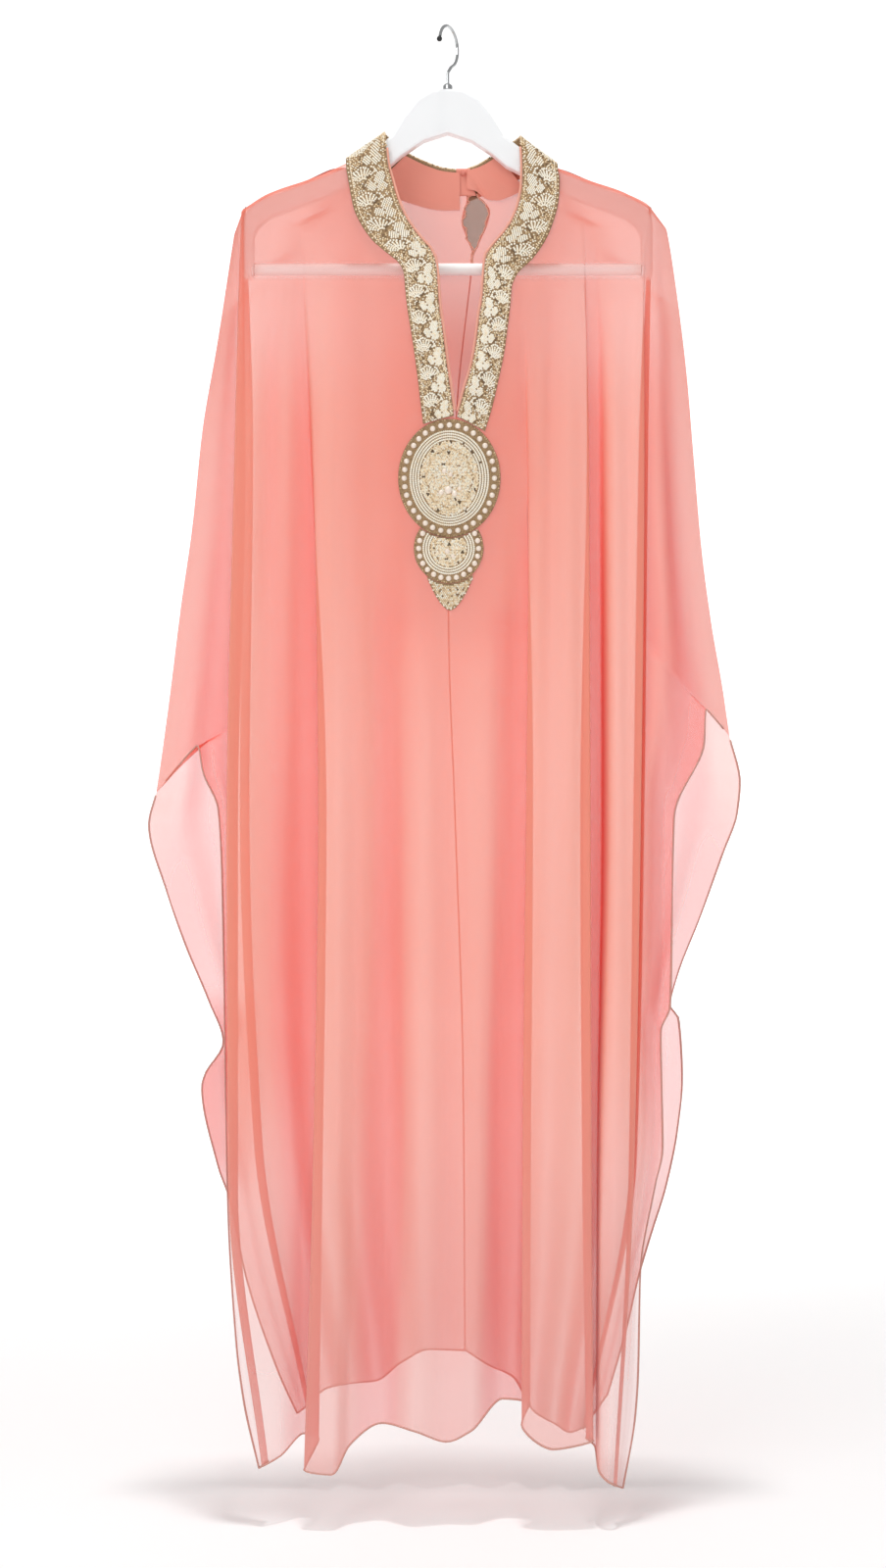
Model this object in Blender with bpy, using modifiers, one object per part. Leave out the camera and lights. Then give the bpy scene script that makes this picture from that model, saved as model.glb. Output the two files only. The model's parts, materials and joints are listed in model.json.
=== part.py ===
"""A sheer butterfly kaftan on a white hanger, as closed solids.

Lengths are in millimetres until a mesh is made. X runs along the hanger, -Y is the front and Z is up.
The origin is the inside of the hook's top, where a rail would be.
"""

import math

import bmesh
import bpy
import numpy as np

MM = 0.001
OBJECT_NAME = "Kaftan"
CUTTER_NAME = "Cutters"

# The tables below hold sizes as they look in the hook's plane from this far in front of it, at this height.
EYE_DISTANCE = 2600.0
EYE_X = -5.0
EYE_Z = -802.0

CLOTH_WALL = 1.2
SEAM_GAP = 0.3
HALF_SEAM = 0.15
TRIM_LIFT = CLOTH_WALL + 2 * SEAM_GAP
BAND_WALL = 1.6
FACING_WALL = 1.0
FACING_INSET = 1.5

BOARD_THICK = 16.0
BOARD_END = 217.0
BAR_HEIGHT = 13.0
BAR_TOP = -249.5
WIRE_RADIUS = 1.8
HOOK_RADIUS = 21.0
HOOK_TURN = math.radians(63)
COLLAR_FOOT = -152.0

MEDALLION = (1.7, -477.4, 54.3, 62.8)
ROUNDEL = (1.0, -552.0, 37.0)

# How far down each station is, as a share of the way from the shoulder to the hem.
STATIONS = (0.0, 0.2, 0.5, 0.78, 1.0)
OUT_STATIONS = (0.0, 0.2, 0.5, 1.0)

# Distance from the middle, height of the shoulder line over the hanger's board.
SHOULDER = (
    (0, -133), (92, -135.5), (98, -139), (104, -142.6), (110, -146.2), (150, -162), (197, -179),
    (215, -190), (222, -199),
)
# Distance from the middle, height of the back neckline.
BACK_NECK = ((0, -176), (40, -163), (70, -151), (92, -144.5), (104, -142.6))
# Distance below the shoulder, how far the cloth hangs in front of the hanger's middle plane.
DRAPE = ((0, 0), (60, 3.5), (260, 16), (650, 35), (1050, 48), (1420, 60))

# Front folds from left to right: x at the five stations, how far each stands out at chest, waist and hem,
# height of the hem there, steps to the next fold.
FRONT_FOLDS = (
    ("left under fold", -216, -214, -222, -222, -190, -12, -16, -8, -1520, 1),
    ("left fold edge", -219, -226, -234, -232, -197, 12, 16, 8, -1526, 2),
    ("left flat", -192, -190, -185, -182, -178, 2, 2, 0, -1515, 2),
    ("left valley", -168, -156, -150, -152, -153, -4, -10, -22, -1491, 1),
    ("first under fold", -160, -146, -128, -132, -136, -3, -8, -18, -1497, 1),
    ("first fold edge", -154, -142, -137, -143, -152, 5, 10, 16, -1530, 1),
    ("first fold crown", -130, -118, -116, -120, -124, 7, 13, 20, -1535, 2),
    ("soft step", -104, -94, -94, -97, -104, 3, 3, 0, -1503, 2),
    ("left centre valley", -80, -64, -64, -66, -70, -3, -7, -12, -1480, 2),
    ("centre ridge, left", -40, -30, -28, -28, -35, 2, 5, 10, -1489, 1),
    ("centre ridge", -4, 0, 0, 2, -2, 2, 7, 14, -1500, 1),
    ("centre ridge, right", 32, 30, 30, 30, 24, 1, 4, 4, -1489, 2),
    ("right centre valley", 60, 60, 60, 58, 58, -3, -8, -14, -1454, 1),
    ("second under fold", 76, 82, 91, 89, 88, -2, -6, -12, -1459, 1),
    ("second fold edge", 82, 87, 84, 80, 79, 4, 8, 12, -1482, 2),
    ("second fold crown", 112, 118, 118, 114, 112, 7, 13, 20, -1508, 2),
    ("third fold edge", 140, 149, 151, 152, 154, 5, 10, 14, -1499, 1),
    ("third under fold", 146, 147, 140, 142, 146, -5, -13, -16, -1496, 1),
    ("deep valley", 154, 160, 162, 158, 157, -8, -20, -20, -1506, 1),
    ("fourth fold edge", 164, 171, 172, 163, 161, 4, 8, 12, -1531, 1),
    ("fourth fold crown", 180, 186, 186, 178, 171, 8, 14, 18, -1543, 2),
    ("right fold edge", 207, 208, 204, 196, 179, 6, 10, 8, -1547, 1),
    ("right under fold", 212, 202, 196, 191, 176, -6, -10, -6, -1546, 1),
)
# Wing lines: share of the way from the under fold to the cloth's edge, how far each stands out.
LEFT_WING = ((0.36, -2), (0.7, 5))
RIGHT_WING = ((0.3, 9), (0.55, 3), (0.8, -3))

# Edges of the panels down each side: share of the way down, x, z, depth in front of the hanger's plane.
# The shoulder fold comes first, then the free edge from the sleeve's mouth to the hem.
FRONT_LEFT_EDGE = (
    (0.0, -226, -219, 0), (0.077, -244, -334, 0), (0.139, -260, -427, 0), (0.208, -271, -531, 0),
    (0.264, -283, -615, 0), (0.334, -296, -719, 0), (0.395, -309, -811, 0), (0.416, -266, -761, 18),
    (0.439, -259, -790, 24), (0.479, -243, -830, 28), (0.54, -239, -906, 30), (0.62, -237, -1010, 34),
    (0.8, -233, -1244, 42), (0.91, -224, -1395, 50), (0.957, -216, -1457, 54), (1.0, -200, -1528, 58),
)
FRONT_RIGHT_EDGE = (
    (0.0, 232, -214, 0), (0.02, 237, -242, 0), (0.1, 253, -365, 0), (0.155, 261, -459, 0),
    (0.21, 269, -552, 0), (0.258, 280, -635, 0), (0.294, 291, -698, 0), (0.325, 299, -752, 0),
    (0.343, 274, -723, 16), (0.375, 272, -758, 20), (0.45, 240, -838, 26), (0.6, 236, -1037, 34),
    (0.63, 226, -1066, 36), (0.72, 228, -1188, 38), (0.755, 220, -1228, 40), (0.83, 204, -1324, 44),
    (0.9, 202, -1426, 52), (0.94, 199, -1473, 56), (1.0, 186, -1549, 60),
)
BACK_LEFT_EDGE = (
    (0.0, -226, -219, 0), (0.09, -244, -334, 0), (0.16, -260, -427, 0), (0.24, -271, -531, 0),
    (0.305, -283, -615, 0), (0.385, -296, -719, 0), (0.46, -309, -811, 0), (0.49, -317, -846, 8),
    (0.54, -298, -916, 16), (0.585, -278, -973, 22), (0.635, -253, -1033, 28), (0.67, -238, -1076, 36),
    (0.7, -258, -1111, 42), (0.712, -261, -1124, 43), (0.78, -244, -1207, 47), (0.81, -231, -1244, 49),
    (0.88, -215, -1322, 52), (0.965, -180, -1426, 56), (1.0, -160, -1470, 58),
)
BACK_RIGHT_EDGE = (
    (0.0, 232, -214, 0), (0.02, 237, -242, 0), (0.13, 253, -365, 0), (0.205, 261, -459, 0),
    (0.28, 269, -552, 0), (0.345, 280, -635, 0), (0.4, 291, -698, 0), (0.46, 299, -752, 0),
    (0.49, 310, -799, 6), (0.515, 307, -833, 10), (0.54, 292, -875, 16), (0.585, 268, -942, 24),
    (0.635, 243, -1007, 30), (0.66, 236, -1037, 36), (0.675, 245, -1051, 40), (0.72, 249, -1114, 44),
    (0.77, 244, -1168, 47), (0.82, 232, -1228, 50), (0.865, 216, -1280, 53), (0.9, 203, -1324, 55),
    (0.945, 190, -1380, 57), (1.0, 170, -1450, 60),
)

# Back folds, with the same columns as the front ones.
BACK_LEFT_FOLDS = (
    ("side under fold", -214, -206, -210, -196, -146, -6, -10, -8, -1460, 1),
    ("side fold", -218, -216, -220, -205, -150, 8, 14, 10, -1462, 2),
    ("side valley", -186, -186, -186, -170, -128, -4, -10, -16, -1443, 2),
    ("outer ridge", -150, -150, -150, -140, -101, 6, 11, 18, -1438, 2),
    ("outer valley", -116, -112, -112, -104, -75, -4, -10, -16, -1435, 2),
    ("inner ridge", -80, -76, -74, -66, -48, 3, 9, 16, -1415, 2),
    ("inner valley", -44, -38, -38, -30, -20, -2, -7, -10, -1402, 2),
)
BACK_RIGHT_FOLDS = (
    ("inner valley", 62, 44, 42, 42, 44, -2, -7, -10, -1419, 2),
    ("inner ridge", 88, 78, 76, 74, 68, 3, 9, 16, -1430, 2),
    ("outer valley", 118, 114, 112, 106, 90, -4, -10, -16, -1466, 2),
    ("outer ridge", 152, 150, 148, 140, 112, 6, 11, 18, -1480, 2),
    ("side valley", 186, 182, 180, 170, 130, -4, -10, -16, -1490, 2),
    ("side fold", 216, 212, 208, 200, 146, 8, 14, 10, -1484, 1),
    ("side under fold", 213, 204, 200, 193, 143, -6, -10, -8, -1486, 1),
)
BACK_WING = ((0.36, 4), (0.7, -4))
# The centre back: height, x of the left half's edge, x of the right half's edge. The wide part is the keyhole.
CENTRE_BACK = (
    (-176, 24, 30), (-194, 18.5, 43), (-205, 16.6, 41), (-222, 21, 35), (-241, 26.4, 27.2),
    (-262, 24.2, 25.0), (-400, 9.6, 10.2), (-621, 0.6, 1.2), (-850, 8.0, 8.6), (-1114, 16.0, 16.6), (-1420, 18.0, 18.6),
)
FRONT_ROWS = (
    0, 0.0006, 0.0016, 0.0032, 0.012, 0.035, 0.077, 0.108, 0.139, 0.173, 0.208, 0.236, 0.264, 0.3,
    0.325, 0.343, 0.375, 0.395, 0.416, 0.439, 0.479, 0.54, 0.6, 0.63, 0.72, 0.755, 0.83, 0.91, 0.957, 1,
)
BACK_ROWS = (
    0, 0.0006, 0.0016, 0.0032, 0.012, 0.024, 0.038, 0.053, 0.09, 0.16, 0.24, 0.305, 0.385, 0.46,
    0.49, 0.54, 0.585, 0.635, 0.67, 0.712, 0.77, 0.82, 0.88, 0.94, 1,
)

# Stations of the beaded bands from the placket's foot to the shoulder: outer edge x, z and inner edge x, z.
LEFT_BAND_FRONT = (
    (-26, -420, 6.5, -411), (-29, -395, 3.5, -388), (-32, -369, 0, -363), (-38.5, -323, -5, -323),
    (-43, -295, -9, -295), (-45, -275, -11, -268), (-46.5, -260, -13, -248), (-52, -249, -19, -234),
    (-65, -238, -28, -224), (-80, -225, -38, -211), (-92, -208, -46, -198), (-99, -193, -53, -182),
    (-103, -175, -59, -162), (-106, -158, -64, -142),
)
RIGHT_BAND_FRONT = (
    (39.5, -427.5, 10, -412), (47, -402, 18, -383), (54, -372, 25, -360), (60, -342, 30, -334),
    (64, -312, 33.5, -306), (66.5, -290, 37, -284), (67.5, -276, 38.5, -262), (73, -262, 40.5, -243),
    (91.5, -243, 48, -231), (103, -226, 59, -218), (111, -208, 69, -203), (117, -186, 76, -184),
    (118.5, -170, 79, -166), (118.5, -160, 79.5, -149),
)
# Over the shoulder and round the back of the neck: the same columns, then the depth of each edge.
LEFT_BAND_BACK = (
    (-107.5, -148.5, -65.5, -127, -11.3, -11.5), (-107.5, -141.5, -66.5, -116, -7.5, -8.5),
    (-107.5, -139.8, -67, -112.5, 0, 0), (-106.5, -141.5, -66.5, -112.5, 8, 8),
    (-104.5, -147, -65.5, -114, 15, 13), (-100, -149, -63, -117, 21, 18), (-88, -152, -56, -123, 28, 23),
    (-70, -160, -43, -133, 36, 29), (-40, -173, -20, -144, 43, 36), (-12, -182, -4, -149, 45, 38),
    (13, -186, 13, -151, 45.5, 38.5),
)
RIGHT_BAND_BACK = (
    (117, -152.5, 79, -134, -11.3, -11.7), (116, -146.5, 77.5, -121, -7.5, -8.5),
    (115.5, -144.8, 77, -116.5, 0, 0), (114.5, -146.5, 76.5, -116.5, 8, 8),
    (111.5, -151.5, 75, -118, 14, 13), (104, -153, 71, -120.5, 18, 17), (90, -155, 64, -125, 28, 23),
    (74, -161, 52, -133, 35, 29), (50, -172, 38, -142, 42, 35.5), (34, -179, 28, -147, 44, 37.5),
    (20, -185, 20, -150, 45, 38.5),
)
BAND_REPEAT = 32.0
BAND_RELIEF = 1.2


def smooth(knots, values, at):
    """A curve through the values with no overshoot, read at the places asked for, column by column."""
    knots = np.asarray(knots, float)
    values = np.asarray(values, float)
    at = np.asarray(at, float)
    flat = values.ndim == 1
    if flat:
        values = values[:, None]
    step = np.diff(knots)[:, None]
    slope = np.diff(values, axis=0) / step
    product = slope[1:] * slope[:-1]
    total = slope[1:] + slope[:-1]
    tangent = np.zeros_like(values)
    tangent[1:-1] = np.where(product > 0, 2 * product / np.where(total == 0, 1, total), 0)
    tangent[0] = slope[0]
    tangent[-1] = slope[-1]
    i = np.clip(np.searchsorted(knots, at, side="right") - 1, 0, len(knots) - 2)
    u = np.clip((at - knots[i])[..., None] / step[i], 0, 1)
    result = (
        values[i] * (1 + 2 * u) * (1 - u) ** 2
        + tangent[i] * step[i] * u * (1 - u) ** 2
        + values[i + 1] * u**2 * (3 - 2 * u)
        + tangent[i + 1] * step[i] * u**2 * (u - 1)
    )
    return result[..., 0] if flat else result


def ramp(value, start, end):
    """0 at the start, 1 at the end, with soft ends."""
    u = np.clip((value - start) / (end - start), 0, 1)
    return u * u * (3 - 2 * u)


def column(table, index):
    return np.array([row[index] for row in table], float)


def at_depth(x, y, z):
    """A point measured in the hook's plane, moved along its sight line to its own depth."""
    scale = 1 + y / EYE_DISTANCE
    x_there = EYE_X + (x - EYE_X) * scale
    z_there = EYE_Z + (z - EYE_Z) * scale
    return np.stack(np.broadcast_arrays(x_there, y, z_there), axis=-1)


def shoulder_height(x):
    return smooth(column(SHOULDER, 0), column(SHOULDER, 1), np.abs(x))


def below_shoulder(x, z):
    return np.maximum(shoulder_height(x) - z, 0)


def over_board(below):
    """The cloth turns over the board's rounded top within a few millimetres."""
    turn, reach = 4.0, 9.5
    return reach * np.sqrt(1 - (1 - np.minimum(below, turn) / turn) ** 2)


def hang(x, z):
    below = below_shoulder(x, z)
    return over_board(below) + smooth(column(DRAPE, 0), column(DRAPE, 1), below)


def front_depth(x, z):
    """How far the front's plain surface stands before the hanger's plane. The beaded trim lies on it."""
    chest = 24 * np.exp(-((x / 100) ** 2) - ((z + 300) / 170) ** 2)
    return hang(x, z) + chest * ramp(below_shoulder(x, z), 0, 60)


def back_depth(x, z):
    """The back's plain surface: round at the neck, then a cone that widens downwards."""
    width = 108 + 0.8 * np.maximum(-150 - z, 0)
    share = np.clip(1 - (x / width) ** 2, 0, 1) ** 0.6
    return hang(x, z) + 32 * share * np.exp(-(((z + 150) / 260) ** 2))


def fold_freedom(x, z):
    """0 under and beside the beaded trim, where the cloth is flat, and 1 away from it."""
    half = smooth((-700, -650, -600, -540, -480, -420, -270, -215, -100), (0, 20, 46, 60, 72, 62, 78, 118, 122), z)
    return ramp(np.abs(x - 2) - half, 0, 34) * ramp(below_shoulder(x, z), 4, 160)


def fold_lines(folds, rows, depth, sign, top, freedom=None):
    """The course of each fold down a panel, as points as seen, with the fold's height added to the depth."""
    lines = []
    for fold in folds:
        x = smooth(STATIONS, fold[1:6], rows)
        start = top(fold[1])
        z = start + (fold[9] - start) * rows
        out = smooth(OUT_STATIONS, (0,) + fold[6:9], rows)
        if freedom is not None:
            out = out * freedom(x, z)
        lines.append(np.stack([x, sign * (depth(x, z) + out), z], axis=-1))
    return lines


def edge_line(edge, rows, sign):
    """A panel's side edge: the shoulder fold, then the free edge."""
    at = column(edge, 0)
    x, z, y = (smooth(at, column(edge, i), rows) for i in (1, 2, 3))
    return np.stack([x, sign * np.maximum(y, HALF_SEAM), z], axis=-1)


def wing_lines(inner, edge, wing, sign):
    """Lines between the body's under fold and the side edge, bulging out from the straight line."""
    width = np.abs(edge[:, 0] - inner[:, 0])
    lines = []
    for share, out in wing:
        line = inner + (edge - inner) * share
        line[:, 1] = inner[:, 1] + (edge[:, 1] - inner[:, 1]) * share**1.5
        line[:, 1] += sign * out * np.clip(width / 40, 0, 1) * ramp(np.abs(line[:, 1]), 8, 20)
        lines.append(line)
    return lines


def columns_through(lines, steps):
    """A grid whose columns run through the lines, with the given steps from each to the next."""
    lines = np.array(lines)
    places = [0.0]
    for i, count in enumerate(steps):
        places += [i + (k + 1) / count for k in range(count)]
    flat = lines.reshape(len(lines), -1)
    grid = smooth(np.arange(len(lines)), flat, places)
    return grid.reshape(len(places), lines.shape[1], 3).transpose(1, 0, 2)


def front_panel():
    rows = np.array(FRONT_ROWS, float)
    body = fold_lines(FRONT_FOLDS, rows, front_depth, -1, shoulder_height, fold_freedom)
    left = edge_line(FRONT_LEFT_EDGE, rows, -1)
    right = edge_line(FRONT_RIGHT_EDGE, rows, -1)
    left_wing = wing_lines(body[0], left, LEFT_WING, -1)[::-1]
    right_wing = wing_lines(body[-1], right, RIGHT_WING, -1)
    lines = [left] + left_wing + body + right_wing + [right]
    steps = [2, 1, 1] + [fold[10] for fold in FRONT_FOLDS] + [1, 1, 1]
    grid = columns_through(lines, steps)
    grid[..., 1] = np.minimum(grid[..., 1], -HALF_SEAM)
    return at_depth(grid[..., 0], grid[..., 1], grid[..., 2])


def back_neck_height(x):
    neck = smooth(column(BACK_NECK, 0), column(BACK_NECK, 1), np.abs(x))
    return np.where(np.abs(x) < BACK_NECK[-1][0], neck, shoulder_height(x))


def centre_line(side, rows, z_hem, out):
    """The edge of one back half at the centre back, with the keyhole's curve near the top."""
    start = CENTRE_BACK[0][0]
    z = start + (z_hem - start) * rows
    heights = column(CENTRE_BACK, 0)[::-1]
    x = smooth(heights, column(CENTRE_BACK, side)[::-1], z)
    lift = smooth(OUT_STATIONS, (0,) + out, rows)
    return np.stack([x, back_depth(x, z) + lift, z], axis=-1)


def back_panel(side):
    """One half of the back, from its side edge to the centre back (left), or the other way round (right)."""
    left = side == 1
    rows = np.array(BACK_ROWS, float)
    folds = BACK_LEFT_FOLDS if left else BACK_RIGHT_FOLDS
    body = fold_lines(folds, rows, back_depth, 1, back_neck_height)
    edge = edge_line(BACK_LEFT_EDGE if left else BACK_RIGHT_EDGE, rows, 1)
    centre = centre_line(side, rows, -1403, (1, 4, 8))
    steps = [fold[10] for fold in folds]
    if left:
        wing = wing_lines(body[0], edge, BACK_WING, 1)[::-1]
        grid = columns_through([edge] + wing + body + [centre], [1, 1, 1] + steps)
    else:
        wing = wing_lines(body[-1], edge, BACK_WING, 1)
        grid = columns_through([centre] + body + wing + [edge], [2] + steps[:-1] + [1, 1, 1])
    grid[..., 1] = np.maximum(grid[..., 1], HALF_SEAM)
    return at_depth(grid[..., 0], grid[..., 1], grid[..., 2])


def band_surface(front, back, along, across):
    """The band's inner face as seen: on the front first, then round the neck. Returns it with its length."""
    share = np.linspace(0, 1, across + 1)
    rows = []
    for ox, oz, ix, iz in front:
        x = ox + (ix - ox) * share
        z = oz + (iz - oz) * share
        rows.append(np.stack([x, -front_depth(x, np.minimum(z, COLLAR_FOOT)) - TRIM_LIFT, z], axis=-1))
    for ox, oz, ix, iz, oy, iy in back:
        x = ox + (ix - ox) * share
        z = oz + (iz - oz) * share
        y = oy + (iy - oy) * share
        if oy > 0:
            over_panel = share < 0.75
            y = np.where(over_panel, np.maximum(y, back_depth(x, z) + TRIM_LIFT + SEAM_GAP), y)
        rows.append(np.stack([x, y, z], axis=-1))
    rows = np.array(rows)
    middle = rows[:, across // 2]
    length = np.concatenate([[0], np.cumsum(np.linalg.norm(np.diff(middle, axis=0), axis=1))])
    count = int(round(length[-1] / along))
    at = np.linspace(0, length[-1], count + 1)
    grid = smooth(length, rows.reshape(len(rows), -1), at).reshape(len(at), across + 1, 3)
    return grid, at


def band_relief(at, across):
    """Leaves and shells in two staggered rows, as bumps on the band's outer points."""
    share = np.linspace(0, 1, across + 1)[None, :]
    phase = at[:, None] / BAND_REPEAT * 2 * math.pi
    leaf = np.maximum(np.sin(phase), 0) ** 0.5 * np.exp(-(((share - 0.68) / 0.17) ** 2))
    shell = np.maximum(-np.sin(phase), 0) ** 0.5 * np.exp(-(((share - 0.3) / 0.17) ** 2))
    return BAND_RELIEF * (leaf + shell)


def facing_surface(back, drop, crumple, columns):
    """The plain cloth inside the back of the neck, hung from the band's upper edge."""
    outer = np.array([(ox, oy, oz) for ox, oz, ix, iz, oy, iy in back], float)
    inner = np.array([(ix, iy, iz) for ox, oz, ix, iz, oy, iy in back], float)
    at = np.linspace(0, len(back) - 1, columns + 1)
    outer = smooth(np.arange(len(back)), outer, at)
    inner = smooth(np.arange(len(back)), inner, at)
    drops = smooth(np.linspace(0, 1, len(drop)), drop, np.linspace(0, 1, columns + 1))
    rows = []
    for share in np.linspace(0.06, 1, 6):
        points = inner + (outer - inner) * (share * drops)[:, None]
        x, y, z = points.T
        y = np.minimum(y - TRIM_LIFT, back_depth(x, np.minimum(z, COLLAR_FOOT)))
        wave = crumple * np.sin(at * 2.1 + share * 3) * share
        rows.append(np.stack([x, y - FACING_WALL - FACING_INSET - np.abs(wave), z], axis=-1))
    return np.array(rows)


def new_material(name, colour, roughness=0.6, metallic=0.0, alpha=1.0):
    material = bpy.data.materials.new(name)
    material.use_nodes = True
    shader = material.node_tree.nodes["Principled BSDF"]
    shader.inputs["Base Color"].default_value = (*colour, 1)
    shader.inputs["Roughness"].default_value = roughness
    shader.inputs["Metallic"].default_value = metallic
    shader.inputs["Alpha"].default_value = alpha
    return material


def new_object(name, points, faces, material, collection):
    """A mesh object from points in millimetres, with its faces turned outwards."""
    mesh = bpy.data.meshes.new(name)
    mesh.from_pydata((np.asarray(points) * MM).tolist(), [], [list(map(int, face)) for face in faces])
    shape = bmesh.new()
    shape.from_mesh(mesh)
    bmesh.ops.recalc_face_normals(shape, faces=shape.faces)
    shape.to_mesh(mesh)
    shape.free()
    if material:
        mesh.materials.append(material)
    thing = bpy.data.objects.new(name, mesh)
    collection.objects.link(thing)
    return thing


def grid_normals(grid):
    down = np.gradient(grid, axis=0)
    across = np.gradient(grid, axis=1)
    normal = np.cross(down, across)
    return normal / np.maximum(np.linalg.norm(normal, axis=-1, keepdims=True), 1e-9)


def wall_from_grid(name, grid, thickness, material, collection, side=1):
    """A closed wall whose inner face is the grid. The outer points may carry relief."""
    rows, columns = grid.shape[:2]
    thickness = np.broadcast_to(np.asarray(thickness, float), (rows, columns))
    outer = grid + side * grid_normals(grid) * thickness[..., None]
    index = np.arange(rows * columns).reshape(rows, columns)
    quads = np.stack([index[:-1, :-1], index[:-1, 1:], index[1:, 1:], index[1:, :-1]], -1).reshape(-1, 4)
    loop = np.concatenate([index[0, :-1], index[:-1, -1], index[-1, :0:-1], index[:0:-1, 0]])
    following = np.roll(loop, -1)
    shift = rows * columns
    rim = np.stack([loop, following, following + shift, loop + shift], axis=-1)
    faces = np.concatenate([quads, quads[:, ::-1] + shift, rim[:, ::-1]])
    points = np.concatenate([grid.reshape(-1, 3), outer.reshape(-1, 3)])
    return new_object(name, points, faces, material, collection)


def disc_on_front(name, centre, reach, radii, around, height, material, collection):
    """A round plate that lies on the front: rings of points out to reach(angle), raised by height(x, z)."""
    angles = np.arange(around) * 2 * math.pi / around
    limit = np.array([reach(angle) for angle in angles])

    def ring_points(share, raised):
        points = []
        for angle, far in zip(angles, limit) if share else ((0, 0),):
            x = centre[0] + math.sin(angle) * far * share
            z = centre[1] + math.cos(angle) * far * share
            y = -float(front_depth(np.array(x), np.array(z))) - TRIM_LIFT
            if raised:
                y -= 1.4 if share == 1 else 1.8 + height(x, z)
            points.append(at_depth(np.array(x), np.array(y), np.array(z)))
        return points

    points, starts = [], []
    shares = [(share, False) for share in (0, 0.35, 0.7, 1)] + [(share, True) for share in reversed(radii)]
    for share, raised in shares:
        starts.append(len(points))
        points += ring_points(share, raised)
    faces = []
    for k in range(around):
        j = (k + 1) % around
        faces.append((starts[0], starts[1] + j, starts[1] + k))
        faces.append((starts[-1], starts[-2] + k, starts[-2] + j))
        for low, high in zip(starts[1:-2], starts[2:-1]):
            faces.append((low + k, low + j, high + j, high + k))
    return new_object(name, points, faces, material, collection)


def pearl_ring(distance, angle, radius, count, size):
    """Height of a ring of pearls at a distance from the centre, as a row of round bumps."""
    along = np.abs((angle * count / (2 * math.pi)) % 1 - 0.5) * 2
    across = abs(distance - radius) / size
    return 2.0 * max(0.0, 1 - across**2) * (1 - along**2)


def medallion_height(x, z):
    cx, cz, half_x, half_z = MEDALLION
    u, v = (x - cx) / half_x, (z - cz) / half_z
    share = math.hypot(u, v)
    angle = math.atan2(u, v)
    pearls = pearl_ring(share, angle, 0.89, 36, 0.07)
    cords = 0.9 * (0.55 < share < 0.8)
    field = 0.8 + 0.8 * abs(math.cos(4 * angle)) if share < 0.5 else 0
    return pearls + cords + field


def roundel_height(x, z):
    cx, cz, radius = ROUNDEL
    share = math.hypot(x - cx, z - cz) / radius
    angle = math.atan2(x - cx, z - cz)
    pearls = pearl_ring(share, angle, 0.86, 24, 0.1)
    cords = 0.9 * (0.5 < share < 0.73)
    field = 0.8 if share < 0.42 else 0
    return pearls + cords + field


def medallion_reach(angle):
    return 1 / math.hypot(math.sin(angle) / MEDALLION[2], math.cos(angle) / MEDALLION[3])


def roundel_reach(angle):
    """The roundel's own radius, or the way to the medallion's edge where that is nearer."""
    cx, cz, radius = ROUNDEL
    mx, mz, half_x, half_z = MEDALLION
    grow = 2 * SEAM_GAP
    steps = np.linspace(0, radius, 400)
    u = (cx + math.sin(angle) * steps - mx) / (half_x + grow)
    v = (cz + math.cos(angle) * steps - mz) / (half_z + grow)
    inside = np.nonzero(u * u + v * v < 1)[0]
    return steps[inside[0]] if len(inside) else radius


def tip_surface():
    """The pointed tip below the roundel: rows from the roundel's edge down to the point."""
    cx, cz, radius = ROUNDEL
    half, foot, centre = 24.0, -618.0, 2.5
    u = np.sin(np.linspace(-1, 1, 13) * math.pi / 2)
    x = centre + half * u
    top = cz - np.sqrt((radius + 2 * SEAM_GAP) ** 2 - (x - cx) ** 2)
    bottom = foot + 34.0 * np.abs(u) ** 1.7
    bottom = np.minimum(bottom, top - 2.0)
    v = np.linspace(0, 1, 6)[:, None]
    z = top + (bottom - top) * v
    x = np.broadcast_to(x, z.shape)
    return at_depth(x, -front_depth(x, z) - TRIM_LIFT, z)


def prism(name, outline, y_front, y_back, material, collection):
    """An outline of x and z pushed through along Y."""
    count = len(outline)
    points = [(x, y, z) for y in (y_front, y_back) for x, z in outline]
    faces = [tuple(range(count)), tuple(range(2 * count - 1, count - 1, -1))]
    for i in range(count):
        j = (i + 1) % count
        faces.append((i, j, j + count, i + count))
    return new_object(name, points, faces, material, collection)


def neck_cutter(collection):
    """Cuts the neck opening and the slit in the front, so that the bands overlap its edges by about 9 mm."""
    outline = []
    for stations in (LEFT_BAND_FRONT[:0:-1], RIGHT_BAND_FRONT[1:]):
        for ox, oz, ix, iz in stations:
            share = 9.0 / math.hypot(ix - ox, iz - oz)
            x, z = ox + (ix - ox) * share, oz + (iz - oz) * share
            y = -float(front_depth(np.array(x), np.array(z)))
            outline.append(at_depth(np.array(x), np.array(y), np.array(z))[[0, 2]])
        if stations[0] == LEFT_BAND_FRONT[-1]:
            outline.append(at_depth(np.array(8.0), np.array(-50.0), np.array(-411.0))[[0, 2]])
    outline += [(110.0, -130.0), (110.0, -100.0), (-98.0, -100.0), (-98.0, -130.0)]
    cutter = prism("neck_cutter", outline, -120.0, -0.0, None, collection)
    cutter.hide_render = True
    cutter.display_type = "WIRE"
    return cutter


def add_bevel(thing, width, segments):
    bevel = thing.modifiers.new("Bevel", "BEVEL")
    bevel.width = width * MM
    bevel.segments = segments
    bevel.limit_method = "ANGLE"
    bevel.angle_limit = math.radians(40)


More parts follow.
